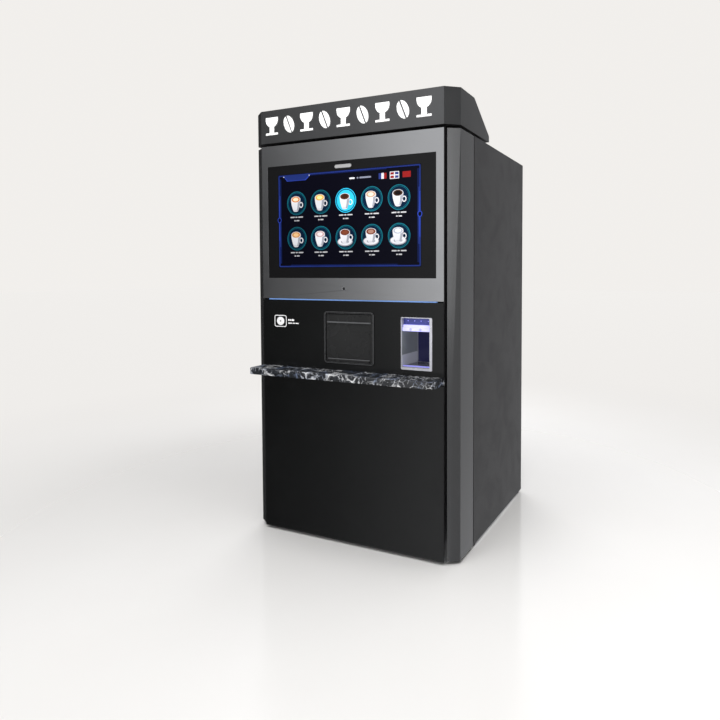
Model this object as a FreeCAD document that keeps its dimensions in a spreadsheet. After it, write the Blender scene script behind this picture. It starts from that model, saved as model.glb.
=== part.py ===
import FreeCAD, Part
import os
import re
import Sketcher

# A floor-standing hot coffee vending machine: a steel cabinet with the drink making machinery,
# and a full-height front door that carries the screen, the cup hatch and the stone shelf.
# Frame: +Z up, +X to the right seen from the front, the front faces -Y, z = 0 is the floor.
# Every length is in millimetres.

doc = FreeCAD.newDocument("coffee_vending_machine")
sheet_object = doc.addObject("Spreadsheet::Sheet", "dims")

SIZES = {
    # whole machine
    "body_width": 1006, "body_depth": 917, "body_height": 1900, "foot_gap": 12,
    # folded sheet steel of the cabinet
    "sheet": 2, "flange": 22, "lip": 30,
    # door shell
    "door_depth": 188, "door_seam": 6, "door_play": 2, "panel_thick": 5, "panel_gap": 8,
    "column_width": 46, "column_setback": 13, "column_slant": 29, "column_return": 40,
    "pan_inset": 2, "hinge_inset": 10, "hinge_pin": 4, "hinge_plate": 4, "hinge_reach": 60,
    "hinge_tab": 20, "hinge_block": 20, "hinge_grip": 28, "pin_play": 0.2,
    # header box and its sign
    "header_height": 145, "header_gap": 11, "header_flat": 192, "header_reach": 376,
    "header_tail": 26, "header_round": 12, "floor_play": 0.8, "spacer_width": 40,
    "spacer_long": 44, "spacer_short": 18, "spacer_second": 315, "spacer_inset": 24,
    "sign_left": 420, "sign_low": 36, "sign_height": 77, "sign_proud": 3, "sign_pitch": 94,
    # shares of the sign's height: cup bowl radius, its lip, saucer and stem, bean and crease
    "bowl_share": 0.42, "lip_share": 0.14, "saucer_share": 0.11, "stem_share": 0.3,
    "bean_share": 0.33, "crease_share": 0.09, "bean_tilt": 68,
    # steel bezel, touch glass and screen
    "bezel_low": 1062, "glass_side": 34, "glass_margin": 92, "glass_thick": 4, "glass_corner": 6,
    "screen_margin": 50, "screen_depth": 46, "eye_x": -16, "eye_width": 84, "eye_height": 18,
    "eye_drop": 23, "lock_rise": 47, "lock_radius": 6, "lock_length": 30, "lock_proud": 1.5,
    "cam_length": 34, "cam_width": 10, "cam_thick": 3, "running_play": 0.3,
    # light strip, shelf and lower panels
    "strip_height": 5, "strip_depth": 14, "strip_inset": 33, "shelf_top": 759, "shelf_thick": 28,
    "shelf_reach": 105, "shelf_corner": 22, "shelf_edge": 5, "bracket_thick": 6,
    "bracket_reach": 60, "bracket_drop": 40, "bracket_inset": 40,
    # cup hatch and its flap
    "hatch_x": 8.5, "hatch_width": 249, "hatch_height": 223, "hatch_rise": 29,
    "hatch_corner": 15, "hatch_rim": 8, "hatch_proud": 3, "hatch_wall": 3, "flap_play": 1.5,
    "flap_thick": 5, "flap_pin": 2, "flap_barrel": 4.5, "flap_drop": 6, "flap_rib": 5,
    "flap_rib_drop": 38, "grip_height": 9, "grip_proud": 7, "tunnel_play": 0.5, "flap_bore": 2.15,
    # side bay, its nozzle and drip grid
    "bay_width": 139, "bay_height": 212, "bay_inset": 52, "bay_rise": 24, "bay_depth": 150,
    "bay_wall": 3, "bay_corner": 8, "nozzle_height": 46, "nozzle_depth": 70, "grid_height": 8,
    "nozzle_side": 12, "spout_radius": 7, "spout_length": 16,
    # payment code reader
    "reader_inset": 63, "reader_width": 67, "reader_height": 54, "reader_low": 175,
    "reader_thick": 4, "reader_corner": 9, "reader_set": 0.5,
    # latch
    "latch_width": 20, "latch_thick": 3, "latch_inset": 6, "latch_low": 480, "latch_length": 820,
    "latch_set": 12, "latch_travel": 20, "stud_radius": 4, "stud_head": 7, "stud_first": 600,
    "stud_second": 1180, "stud_inset": 16, "head_thick": 4, "latch_play": 0.5, "keyhole_play": 1.2,
    "latch_pad": 14, "slot_wide": 1.6, "slot_deep": 7,
    # decks inside the cabinet
    "deck_top": 741, "upper_top": 1200, "hole_play": 2,
    # cup store: carousel, dropper and carrier
    "carrier_set": 75, "rail_width": 18, "rail_height": 14, "rail_over": 62, "cup_pitch": 84,
    "tube_radius": 42, "tube_wall": 2, "tube_length": 380, "turret_radius": 128,
    "turret_plate": 6, "turret_gap": 14, "turret_tie": 250, "turret_hub": 14, "turret_shaft": 8,
    "dropper_height": 60, "dropper_half": 62, "ring_radius": 38, "ring_wall": 4,
    "ring_height": 34, "saddle_length": 70, "saddle_height": 12, "saddle_cheek": 8,
    # powder canisters, mixing bowls and whipper motors
    "canister_width": 92, "canister_pitch": 100, "canister_edge": 18, "canister_set": 70,
    "canister_depth": 220, "canister_height": 270, "canister_round": 8, "lid_height": 12, "lid_over": 2,
    "outlet_set": 45, "outlet_radius": 20, "outlet_height": 56, "outlet_drop": 60,
    "bowl_top_radius": 34, "bowl_wall": 2.5, "bowl_height": 60, "bowl_drop": 76,
    "whip_box": 36, "whip_height": 30, "bowl_spout": 7, "spout_reach": 40, "motor_radius": 24,
    "motor_length": 70, "boss_radius": 10, "boss_length": 12, "strap_width": 40,
    # grinders, bean hoppers and brewer
    "grinder_pitch": 110, "grinder_width": 96, "grinder_depth": 150, "grinder_set": 75,
    "grinder_height": 130, "grinder_round": 10, "chute_radius": 14, "chute_shift": 25,
    "chute_set": 45, "ear_width": 10, "ear_height": 14, "lug_width": 6, "knob_width": 24,
    "knob_depth": 10, "knob_rise": 8, "nozzle_shift": 9,
    "hopper_wall": 3, "hopper_depth": 200, "hopper_height": 170, "hopper_foot": 34,
    "hopper_seat": 46, "hopper_lid": 5, "lid_pin": 2.5, "lid_ear": 6, "brewer_width": 110,
    "brewer_set": 100, "brewer_depth": 130, "brewer_height": 250, "brewer_wall": 15,
    "brewer_back": 40, "chamber_radius": 32, "chamber_bore": 23.5, "chamber_height": 70,
    "piston_radius": 23, "piston_thick": 18, "piston_rod": 8, "piston_gap": 4,
    "arm_width": 34, "arm_height": 22, "nozzle_drop": 24,
    # water: boiler, pump, bottles and hoses
    "boiler_radius": 68, "boiler_height": 230, "boiler_foot": 24, "boiler_side": 42,
    "boiler_rear": 40, "pump_radius": 24, "pump_length": 96, "pump_x": -150, "pump_rear": 90,
    "pump_foot": 12, "hose_radius": 5, "bottle_radius": 130, "bottle_height": 400,
    "bottle_neck": 26, "bottle_neck_height": 40, "bottle_gap": 12, "bottle_set": 24,
    "bottle_edge": 18, "bottle_shoulder": 60, "bottle_round": 20,
    # waste bin
    "bin_width": 280, "bin_depth": 380, "bin_height": 320, "bin_wall": 4, "bin_set": 150,
    "bin_round": 18, "bin_handle": 90, "bin_grip": 10,
    # electrics
    "box_thick": 95, "box_width": 300, "box_height": 300, "box_set": 150, "box_low": 380,
    "supply_width": 130, "supply_depth": 210, "supply_height": 90, "supply_rear": 70,
    "fan_size": 120, "fan_depth": 26, "fan_bore": 55, "fan_x": 250, "fan_drop": 150,
    "fan_hub": 20, "fan_blade": 52, "fan_shaft": 3, "fan_spider": 5, "fan_corner": 8,
    "mains_x": 320, "mains_z": 120, "mains_width": 50, "mains_height": 32, "mains_depth": 34,
    "mains_cheek": 11, "mains_well": 18,
    "water_x": -110, "water_z": 120, "thread_radius": 13.2, "thread_length": 18,
    "water_hole": 21, "water_nut": 26, "nut_thick": 6,
    # levelling feet
    "foot_radius": 24, "foot_pad": 7, "foot_stem": 7, "foot_inset": 30, "foot_stem_top": 26,
    "foot_hole": 7.5, "slot_width": 60, "slot_height": 5, "slot_pitch": 15,
}

# Planes and centres that several pieces share, worked out from the sizes.
PLACES = {
    "front": "(shelf_reach - body_depth) / 2",
    "back": "front + body_depth",
    "side": "body_width / 2",
    "inner": "side - sheet",
    "door_back": "front + door_depth",
    "cab_front": "door_back + door_seam",
    "cab_top": "body_height - header_height - header_gap",
    "floor_top": "foot_gap + sheet",
    "door_low": "foot_gap + door_play",
    "door_top": "cab_top - door_play",
    "panel_half": "side - column_width - panel_gap",
    "pan_half": "panel_half - pan_inset",
    "glass_half": "panel_half - glass_side",
    "glass_low": "bezel_low + glass_margin",
    "glass_top": "door_top - glass_margin",
    "middle_top": "bezel_low - strip_height",
    "slab_low": "shelf_top - shelf_thick",
    "lower_top": "slab_low - bracket_thick",
    "hatch_low": "shelf_top + hatch_rise",
    "hatch_top": "hatch_low + hatch_height",
    "flap_axis_z": "hatch_top - hatch_rim - flap_drop",
    "flap_axis_y": "front + flap_barrel + 1",
    "bay_right": "panel_half - bay_inset",
    "bay_left": "bay_right - bay_width",
    "bay_low": "shelf_top + bay_rise",
    "bay_top": "bay_low + bay_height",
    "reader_left": "reader_inset - panel_half",
    "reader_base": "shelf_top + reader_low",
    "carrier_y": "cab_front + carrier_set",
    "turret_x": "inner - turret_radius - turret_gap",
    "turret_y": "carrier_y + cup_pitch",
    "turret_low": "upper_top + dropper_height + 0.5",
    "canister_x": "canister_edge + canister_width / 2 - inner",
    "outlet_y": "cab_front + outlet_set",
    "bowl_low": "upper_top - bowl_drop - bowl_height",
    "whip_low": "bowl_low - whip_height",
    "hopper_low": "upper_top + grinder_height",
    "hopper_top": "hopper_low + hopper_height",
    "hopper_front": "cab_front + hopper_seat",
    "hopper_back": "hopper_front + hopper_depth",
    "lid_axis_z": "hopper_top + hopper_lid / 2",
    "lid_axis_y": "hopper_back + lid_ear",
    "brewer_top": "upper_top - sheet",
    "brewer_low": "brewer_top - brewer_height",
    "brewer_front": "cab_front + brewer_set",
    "chamber_y": "brewer_front + (brewer_depth - brewer_back) / 2",
    "chamber_low": "brewer_low + brewer_wall",
    "chamber_top": "chamber_low + chamber_height",
    "boiler_x": "inner - boiler_side - boiler_radius",
    "boiler_y": "back - sheet - boiler_rear - boiler_radius",
    "pump_y": "back - pump_rear",
    "pump_z": "deck_top + pump_foot + pump_radius",
    "bottle_x": "bottle_edge + bottle_radius - inner",
    "bottle_y": "cab_front + bottle_set + bottle_radius",
    "latch_x": "side - latch_inset - latch_width",
    "latch_y": "door_back - latch_set",
    "stud_x": "side - stud_inset",
    "fan_z": "cab_top - fan_drop",
    "hinge_x": "hinge_inset - side",
    "hinge_y": "door_back - hinge_inset",
    "lock_z": "bezel_low + lock_rise",
}

for row, (alias, number) in enumerate(SIZES.items(), start=1):
    sheet_object.set(f"A{row}", alias)
    sheet_object.set(f"B{row}", str(number))
    sheet_object.setAlias(f"B{row}", alias)
doc.recompute()


def formula(text):
    """Turn plain names into a formula of the sheet's cells."""
    def spell(match):
        word = match.group()
        if word in SIZES:
            return "dims." + word
        return f"({formula(PLACES[word])})" if word in PLACES else word
    return re.sub(r"[a-z][a-z_]*", spell, str(text))


def value(text):
    """The number that a formula gives now."""
    return float(sheet_object.evalExpression(formula(text)))


def at(item, x="0", y="0", z="0"):
    for axis, text in (("x", x), ("y", y), ("z", z)):
        item.setExpression("Placement.Base." + axis, formula(text))
    return item


def block(name, size, corner):
    """A box from its three lengths and its lowest corner."""
    item = doc.addObject("Part::Box", name)
    for side_name, text in zip(("Length", "Width", "Height"), size):
        item.setExpression(side_name, formula(text))
    return at(item, *corner)


TURNS = {
    "z": FreeCAD.Rotation(),
    "y": FreeCAD.Rotation(FreeCAD.Vector(1, 0, 0), -90),
    "x": FreeCAD.Rotation(FreeCAD.Vector(0, 1, 0), 90),
}


def rod(name, radius, length, base, axis="z"):
    """A cylinder that starts at base and runs along an axis."""
    item = doc.addObject("Part::Cylinder", name)
    item.Placement.Rotation = TURNS[axis]
    item.setExpression("Radius", formula(radius))
    item.setExpression("Height", formula(length))
    return at(item, *base)


def joined(label, *pieces):
    item = doc.addObject("Part::MultiFuse", label)
    item.Shapes = list(pieces)
    return item


def carved(label, base, *tools):
    item = doc.addObject("Part::Cut", label)
    item.Base = base
    item.Tool = tools[0] if len(tools) == 1 else joined(label + "_tools", *tools)
    return item


def grouped(label, *pieces):
    """Separate solids that are one kind of piece."""
    item = doc.addObject("Part::Compound", label)
    item.Links = list(pieces)
    return item


def rounded(label, base, radius, wanted):
    """Fillet the straight edges that wanted picks by direction."""
    doc.recompute()
    item = doc.addObject("Part::Fillet", label)
    item.Base = base
    size = value(radius)
    item.Edges = [
        (index, size, size)
        for index, edge in enumerate(base.Shape.Edges, start=1)
        if wanted(edge)
    ]
    return item


def runs(axis):
    """Pick the straight edges along one axis."""
    aim = FreeCAD.Vector(*(float(letter == axis) for letter in "xyz"))

    def wanted(edge):
        if not isinstance(edge.Curve, Part.Line):
            return False
        return abs(edge.Curve.Direction.dot(aim)) > 0.999
    return wanted


def new_body(label, x="0", y="0", z="0"):
    return at(doc.addObject("PartDesign::Body", label), x, y, z)


def plane_of(body, role):
    return next(item for item in body.Origin.OriginFeatures if item.Role == role)


def hold(sketch, kind, geometry, point, text):
    """Bind one coordinate of a sketch point to the sheet."""
    number = sketch.addConstraint(Sketcher.Constraint(kind, -1, 1, geometry, point, 1.0))
    name = f"{kind}_{geometry}_{point}"
    sketch.renameConstraint(number, name)
    sketch.setExpression("Constraints." + name, formula(text))


def outline(body, role, points):
    """A closed sketch with straight sides through the given points."""
    sketch = body.newObject("Sketcher::SketchObject", body.Name + "_outline")
    sketch.AttachmentSupport = [(plane_of(body, role), "")]
    sketch.MapMode = "FlatFace"
    corners = [FreeCAD.Vector(value(first), value(second), 0) for first, second in points]
    for index, corner in enumerate(corners):
        sketch.addGeometry(Part.LineSegment(corner, corners[(index + 1) % len(corners)]))
    for index in range(len(corners)):
        sketch.addConstraint(Sketcher.Constraint("Coincident", index, 2, (index + 1) % len(corners), 1))
    for index, (first, second) in enumerate(points):
        hold(sketch, "DistanceX", index, 1, first)
        hold(sketch, "DistanceY", index, 1, second)
    return sketch


def circles(body, role, rings):
    """A sketch of circles, each given as its centre and radius."""
    sketch = body.newObject("Sketcher::SketchObject", body.Name + "_circles")
    sketch.AttachmentSupport = [(plane_of(body, role), "")]
    sketch.MapMode = "FlatFace"
    for index, (first, second, radius) in enumerate(rings):
        centre = FreeCAD.Vector(value(first), value(second), 0)
        sketch.addGeometry(Part.Circle(centre, FreeCAD.Vector(0, 0, 1), value(radius)))
        hold(sketch, "DistanceX", index, 3, first)
        hold(sketch, "DistanceY", index, 3, second)
        number = sketch.addConstraint(Sketcher.Constraint("Radius", index, value(radius)))
        sketch.renameConstraint(number, f"Radius_{index}")
        sketch.setExpression(f"Constraints.Radius_{index}", formula(radius))
    return sketch


def rectangle(left, low, width, height):
    """Corner points of a rectangle."""
    right = f"({left}) + ({width})"
    top = f"({low}) + ({height})"
    return [(left, low), (right, low), (right, top), (left, top)]


def pad(body, sketch, length, behind=False):
    """Raise a sketch along its plane's normal, or behind it."""
    item = body.newObject("PartDesign::Pad", body.Name + "_pad")
    item.Profile = sketch
    item.Reversed = behind
    item.setExpression("Length", formula(length))
    doc.recompute()
    return item


def pocket(body, sketch, length=None, into=True):
    """Cut a sketch into the body, away from the sketch plane; with no length it goes right through."""
    before = body.Tip.Shape.Volume
    item = body.newObject("PartDesign::Pocket", body.Name + "_pocket")
    item.Profile = sketch
    item.Reversed = into
    if length is None:
        item.Type = "ThroughAll"
    else:
        item.setExpression("Length", formula(length))
    doc.recompute()
    if not item.Shape.Volume < before:
        raise ValueError(f"{item.Name} cuts nothing")
    return item


def soften(body, radius, wanted, kind="Fillet"):
    """Round or chamfer the edges of the body that wanted picks."""
    base = body.Tip
    names = [f"Edge{i}" for i, edge in enumerate(base.Shape.Edges, start=1) if wanted(edge)]
    item = body.newObject("PartDesign::" + kind, f"{body.Name}_{kind.lower()}")
    item.Base = (base, names)
    item.setExpression("Radius" if kind == "Fillet" else "Size", formula(radius))
    doc.recompute()
    return item


def turned(label, profile, x, y, z):
    """A body of revolution about its own vertical axis; profile is (radius, height) points."""
    body = new_body(label, x, y, z)
    sketch = outline(body, "XZ_Plane", profile)
    item = body.newObject("PartDesign::Revolution", label + "_turn")
    item.Profile = sketch
    item.ReferenceAxis = (sketch, ["V_Axis"])
    item.Angle = 360
    doc.recompute()
    return body


def hollow(body, wall, open_face):
    """Turn the body into a shell of the given wall, open at the face where open_face is lowest."""
    base = body.Tip
    faces = base.Shape.Faces
    opened = min(range(len(faces)), key=lambda index: open_face(faces[index].CenterOfMass))
    item = body.newObject("PartDesign::Thickness", body.Name + "_shell")
    item.Base = (base, [f"Face{opened + 1}"])
    item.setExpression("Value", formula(wall))
    item.Reversed = True
    doc.recompute()
    return item


def around(body, feature, sketch, count):
    """Repeat a feature evenly about the sketch's own normal."""
    item = body.newObject("PartDesign::PolarPattern", body.Name + "_pattern")
    item.Originals = [feature]
    item.Axis = (sketch, ["N_Axis"])
    item.Angle = 360
    item.Occurrences = count
    body.Tip = item
    doc.recompute()
    return item


def tube_run(points, radius):
    """A round tube along straight runs joined by tangent arcs."""
    spots = [FreeCAD.Vector(*(value(text) for text in point)) for point in points]
    edges = []
    start = spots[0]
    for index in range(1, len(spots) - 1):
        corner = spots[index]
        back_way = (spots[index - 1] - corner)
        on_way = (spots[index + 1] - corner)
        cut = 0.45 * min(back_way.Length, on_way.Length)
        back_way.normalize()
        on_way.normalize()
        half = back_way.getAngle(on_way) / 2
        bulge = (back_way + on_way).normalize()
        first = corner + back_way * cut
        last = corner + on_way * cut
        from_corner = cut / FreeCAD.Vector(bulge).dot(back_way)
        bend = from_corner - (from_corner ** 2 - cut ** 2) ** 0.5
        middle = corner + bulge * bend
        if half > 0:
            edges.append(Part.LineSegment(start, first).toShape())
            edges.append(Part.Arc(first, middle, last).toShape())
        start = last
    edges.append(Part.LineSegment(start, spots[-1]).toShape())
    path = Part.Wire(edges)
    aim = (spots[1] - spots[0]).normalize()
    ring = Part.Wire(Part.Circle(spots[0], aim, value(radius)).toShape())
    return path.makePipeShell([ring], True, False)


parts = {}


def keep(label, item):
    """Name a finished sub-part; its Label names its file."""
    item.Label = label
    parts[label] = item
    return item


# ---- cabinet shell: folded side panels, roof, floor and back ----------------------------------

def side_panel(label, sign):
    """A channel in plan: the side sheet with a narrow flange folded in at front and back."""
    body = new_body(label, z="foot_gap")
    outer, skin, edge = (f"{sign} * ({text})" for text in ("side", "side - sheet", "side - flange"))
    points = [
        (outer, "cab_front"), (outer, "back"), (edge, "back"), (edge, "back - sheet"),
        (skin, "back - sheet"), (skin, "cab_front + sheet"), (edge, "cab_front + sheet"),
        (edge, "cab_front"),
    ]
    pad(body, outline(body, "XY_Plane", points), "cab_top - foot_gap")
    return keep(label, body)


side_panel("left_side_panel", -1)
side_panel("right_side_panel", 1)


def tray(label, low, high, lip_low, lip_high):
    """A level sheet between the side panels with its front and back edges folded."""
    body = new_body(label, x="-inner")
    first, last = "cab_front + sheet", "back - sheet"
    if lip_low == low:
        points = [
            (first, low), (last, low), (last, lip_high), (f"{last} - sheet", lip_high),
            (f"{last} - sheet", high), (f"{first} + sheet", high),
            (f"{first} + sheet", lip_high), (first, lip_high),
        ]
    else:
        points = [
            (first, lip_low), (f"{first} + sheet", lip_low), (f"{first} + sheet", low),
            (f"{last} - sheet", low), (f"{last} - sheet", lip_low), (last, lip_low),
            (last, high), (first, high),
        ]
    pad(body, outline(body, "YZ_Plane", points), "2 * inner")
    return body


roof = tray("roof_panel", "cab_top - sheet", "cab_top", "cab_top - lip", "cab_top")
keep("roof_panel", roof)

base = tray("base_pan", "foot_gap", "floor_top", "foot_gap", "foot_gap + lip")
foot_places = [
    (f"{sign} * (side - foot_inset)", depth)
    for sign in (-1, 1)
    for depth in ("cab_front + foot_inset", "back - foot_inset")
]
pocket(base, circles(base, "XY_Plane", [(f"inner + {x}", y, "foot_hole") for x, y in foot_places]))
keep("base_pan", base)

back_panel = new_body("back_panel", y="back")
back_width = "2 * (side - flange)"
pad(back_panel, outline(back_panel, "XZ_Plane", rectangle(
    "flange - side", "foot_gap", back_width, "cab_top - foot_gap")), "sheet")
back_holes = [("fan_x", "fan_z", "fan_bore"), ("water_x", "water_z", "water_hole")]
pocket(back_panel, circles(back_panel, "XZ_Plane", back_holes))
pocket(back_panel, outline(back_panel, "XZ_Plane", rectangle(
    "mains_x - mains_width / 2", "mains_z - mains_height / 2", "mains_width", "mains_height")))
for row in range(6):
    pocket(back_panel, outline(back_panel, "XZ_Plane", rectangle(
        "-fan_x - slot_width", f"fan_z - {row} * slot_pitch", "2 * slot_width", "slot_height")))
keep("back_panel", back_panel)

foot_profile = [
    ("0", "0"), ("foot_radius", "0"), ("foot_radius", "foot_pad - 3"), ("foot_radius - 5", "foot_pad"),
    ("foot_stem", "foot_pad"), ("foot_stem", "foot_stem_top"), ("0", "foot_stem_top"),
]
keep("levelling_feet", grouped("levelling_feet", *(
    turned(f"foot_{i}", foot_profile, x, y, "0") for i, (x, y) in enumerate(foot_places))))


# ---- header box over the door -----------------------------------------------------------------

def header_plan(inset):
    """The header seen from above, with its slanted front corners, drawn in by inset."""
    half, edge = f"(panel_half - {inset} * 0.5)", f"(side - {inset})"
    slant = f"front + column_setback + column_slant + {inset} * 0.5"
    return [
        (f"-{half}", f"front + {inset}"), (half, f"front + {inset}"), (edge, slant),
        (edge, f"front + header_reach - {inset}"), (f"-{edge}", f"front + header_reach - {inset}"),
        (f"-{edge}", slant),
    ]


header = new_body("header_housing", z="cab_top + header_gap")
pad(header, outline(header, "XY_Plane", header_plan("0")), "header_height")
slope = [
    ("front + header_flat", "header_height"), ("front + header_reach", "header_tail"),
    ("front + header_reach + lip", "header_tail"), ("front + header_reach + lip", "header_height + lip"),
    ("front + header_flat", "header_height + lip"),
]
for into in (True, False):
    pocket(header, outline(header, "YZ_Plane", slope), into=into)


def header_ridge(edge):
    """The two long edges of the header's rear slope."""
    if not runs("x")(edge) or edge.Length < value("2 * panel_half + sheet"):
        return False
    return any(abs(edge.CenterOfMass.z - value(level)) < 0.01 for level in ("header_height", "header_tail"))


soften(header, "header_round", header_ridge)
hollow(header, "sheet", lambda centre: centre.z)
keep("header_housing", header)

header_floor = new_body("header_floor", z="cab_top + header_gap")
pad(header_floor, outline(header_floor, "XY_Plane", header_plan("(sheet + floor_play)")), "sheet")
keep("header_floor", header_floor)

spacers = []
for sign in (-1, 1):
    for name, depth, length in (("front", "door_depth + door_seam + sheet", "spacer_long"),
                                ("rear", "spacer_second", "spacer_short")):
        left = f"{sign} * (side - spacer_inset - spacer_width / 2) - spacer_width / 2"
        spacers.append(block(f"spacer_{name}", ("spacer_width", length, "header_gap"),
                             (left, f"front + {depth}", "cab_top")))
keep("header_spacers", grouped("header_spacers", *spacers))


def cup_sign(index):
    """A raised cup: half-round bowl with a lip, a stem and a saucer."""
    left = f"{index} * sign_pitch - sign_left"
    low = "cab_top + header_gap + sign_low"
    face = "front - sign_proud"
    radius = "sign_height * bowl_share"
    lip_low = f"{low} + sign_height * (1 - lip_share)"
    bowl = rod(f"sign_bowl_{index}", radius, "sign_proud", (f"{left} + {radius}", face, lip_low), "y")
    bowl.Angle = 180
    lip = block(f"sign_lip_{index}", (f"2 * {radius}", "sign_proud", "sign_height * lip_share"),
                (left, face, lip_low))
    saucer = block(f"sign_saucer_{index}", (f"2 * {radius}", "sign_proud", "sign_height * saucer_share"),
                   (left, face, low))
    stem = block(f"sign_stem_{index}", ("sign_height * stem_share", "sign_proud", "sign_height / 2"),
                 (f"{left} + {radius} - sign_height * stem_share / 2", face, low))
    return joined(f"sign_cup_{index}", bowl, lip, saucer, stem)


def bean_sign(index):
    """A raised coffee bean: an upright oval in two halves with the crease between them."""
    oval = doc.addObject("Part::Ellipse", f"sign_oval_{index}")
    oval.setExpression("MajorRadius", formula("sign_height / 2"))
    oval.setExpression("MinorRadius", formula("sign_height * bean_share"))
    bean = doc.addObject("Part::Extrusion", f"sign_bean_{index}")
    bean.Base = oval
    bean.DirMode = "Custom"
    bean.Dir = FreeCAD.Vector(0, 0, 1)
    bean.Solid = True
    bean.setExpression("LengthFwd", formula("sign_proud"))
    crease = block(f"sign_crease_{index}",
                   ("sign_height * 2", "sign_height * crease_share", "sign_proud * 3"),
                   ("-sign_height", "-sign_height * crease_share / 2", "-sign_proud"))
    halves = carved(f"sign_halves_{index}", bean, crease)
    lean = FreeCAD.Rotation(FreeCAD.Vector(0, 1, 0), value("bean_tilt"))
    halves.Placement.Rotation = lean * FreeCAD.Rotation(FreeCAD.Vector(1, 0, 0), 90)
    return at(halves, f"{index} * sign_pitch - sign_left + sign_height * bowl_share", "front",
              "cab_top + header_gap + sign_low + sign_height / 2")


keep("header_sign", grouped("header_sign", *(
    cup_sign(index) if index % 2 == 0 else bean_sign(index) for index in range(9))))


# ---- door shell -------------------------------------------------------------------------------

def across(label, low, high, thick, half="panel_half", depth="0"):
    """A flat panel across the door, with its face on the front plane or depth behind it."""
    body = new_body(label, y=f"front + {depth} + {thick}")
    pad(body, outline(body, "XZ_Plane", rectangle(f"-({half})", low, f"2 * ({half})", f"({high}) - ({low})")),
        thick)
    return body


pan = across("door_pan", "door_low", "door_top", "door_depth - panel_thick", "pan_half", "panel_thick")
pan.setExpression("Placement.Base.y", formula("door_back"))
hollow(pan, "sheet", lambda centre: centre.y)
tunnel_margin = "(hatch_rim - hatch_wall - tunnel_play)"
tunnel_hole = rectangle(f"hatch_x - hatch_width / 2 + {tunnel_margin}", f"hatch_low + {tunnel_margin}",
                        f"hatch_width - 2 * {tunnel_margin}", f"hatch_height - 2 * {tunnel_margin}")
pocket(pan, outline(pan, "XZ_Plane", tunnel_hole))
keep("door_pan", pan)


def column(label, sign):
    """A folded channel at the door's edge: slanted face, side, rear return and front return."""
    body = new_body(label, z="door_low")
    root = "side - column_width"
    points = [
        (root, "front + column_setback"), ("side", "front + column_setback + column_slant"),
        ("side", "door_back"), ("pan_half", "door_back"), ("pan_half", "door_back - sheet"),
        ("side - sheet", "door_back - sheet"),
        ("side - sheet", "front + column_setback + column_slant + sheet / 2"),
        (f"{root} + sheet", "front + column_setback + 1.5 * sheet"),
        (f"{root} + sheet", "front + column_setback + column_return"),
        (root, "front + column_setback + column_return"),
    ]
    pad(body, outline(body, "XY_Plane", [(f"{sign} * ({x})", y) for x, y in points]), "door_top - door_low")
    return body


keep("column_left", column("column_left", -1))
right_column = column("column_right", 1)
stud_holes = [("stud_x", f"{z} - door_low", "stud_head + 2") for z in ("stud_first", "stud_second")]
pocket(right_column, circles(right_column, "XZ_Plane", stud_holes), "2 * sheet - door_back")
keep("column_right", right_column)

bezel = across("steel_bezel", "bezel_low", "door_top", "panel_thick")
glass_opening = rectangle("-glass_half", "glass_low", "2 * glass_half", "glass_top - glass_low")
pocket(bezel, outline(bezel, "XZ_Plane", glass_opening))
pocket(bezel, circles(bezel, "XZ_Plane", [("eye_x", "lock_z", "lock_radius + running_play")]))
keep("steel_bezel", bezel)

glass = across("display_glass", "glass_low", "glass_top", "glass_thick", "glass_half")
eye_z = "glass_top - eye_drop"
eye_hole = rectangle("eye_x - eye_width / 2", f"{eye_z} - eye_height / 2", "eye_width", "eye_height")
pocket(glass, outline(glass, "XZ_Plane", eye_hole))
keep("display_glass", glass)

eye = across("sensor_window", f"{eye_z} - eye_height / 2", f"{eye_z} + eye_height / 2", "glass_thick",
             "eye_width / 2")
eye.setExpression("Placement.Base.x", formula("eye_x"))
keep("sensor_window", eye)

module = across("display_module", "glass_low + screen_margin", "glass_top - screen_margin",
                "screen_depth", "glass_half - screen_margin", "glass_thick")
soften(module, "glass_corner", runs("y"))
keep("display_module", module)


# ---- front panels, light strip and stone shelf ------------------------------------------------

middle = across("middle_panel", "shelf_top", "middle_top", "panel_thick")
pocket(middle, outline(middle, "XZ_Plane", rectangle(
    "hatch_x - hatch_width / 2 + hatch_wall", "hatch_low + hatch_wall",
    "hatch_width - 2 * hatch_wall", "hatch_height - 2 * hatch_wall")))
pocket(middle, outline(middle, "XZ_Plane", rectangle("bay_left", "bay_low", "bay_width", "bay_height")))
pocket(middle, outline(middle, "XZ_Plane", rectangle(
    "reader_left", "reader_base", "reader_width", "reader_height")))
keep("middle_panel", middle)

keep("lower_panel", across("lower_panel", "door_low", "lower_top", "panel_thick"))

strip = across("light_strip", "middle_top", "bezel_low", "strip_depth", "panel_half - strip_inset", "1")
keep("light_strip", strip)

shelf = new_body("marble_shelf", z="slab_low")
pad(shelf, outline(shelf, "XY_Plane", rectangle(
    "-panel_half", "front - shelf_reach", "2 * panel_half", "shelf_reach + panel_thick")), "shelf_thick")
soften(shelf, "shelf_corner", lambda edge: runs("z")(edge) and edge.CenterOfMass.y < value("front - 1"))
soften(shelf, "shelf_edge", lambda edge: edge.CenterOfMass.z > value("shelf_thick - 0.01")
       and edge.CenterOfMass.y < value("front - 1"))
keep("marble_shelf", shelf)

bracket = new_body("shelf_bracket", x="bracket_inset - panel_half")
pad(bracket, outline(bracket, "YZ_Plane", [
    ("front - bracket_reach", "lower_top"), ("front + panel_thick", "lower_top"),
    ("front + panel_thick", "lower_top - bracket_drop"),
    ("front + panel_thick + bracket_thick", "lower_top - bracket_drop"),
    ("front + panel_thick + bracket_thick", "slab_low"), ("front - bracket_reach", "slab_low"),
]), "2 * (panel_half - bracket_inset)")
keep("shelf_bracket", bracket)


# ---- cup hatch: frame with a tunnel to the cup station, and the flap on its pin ---------------

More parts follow.
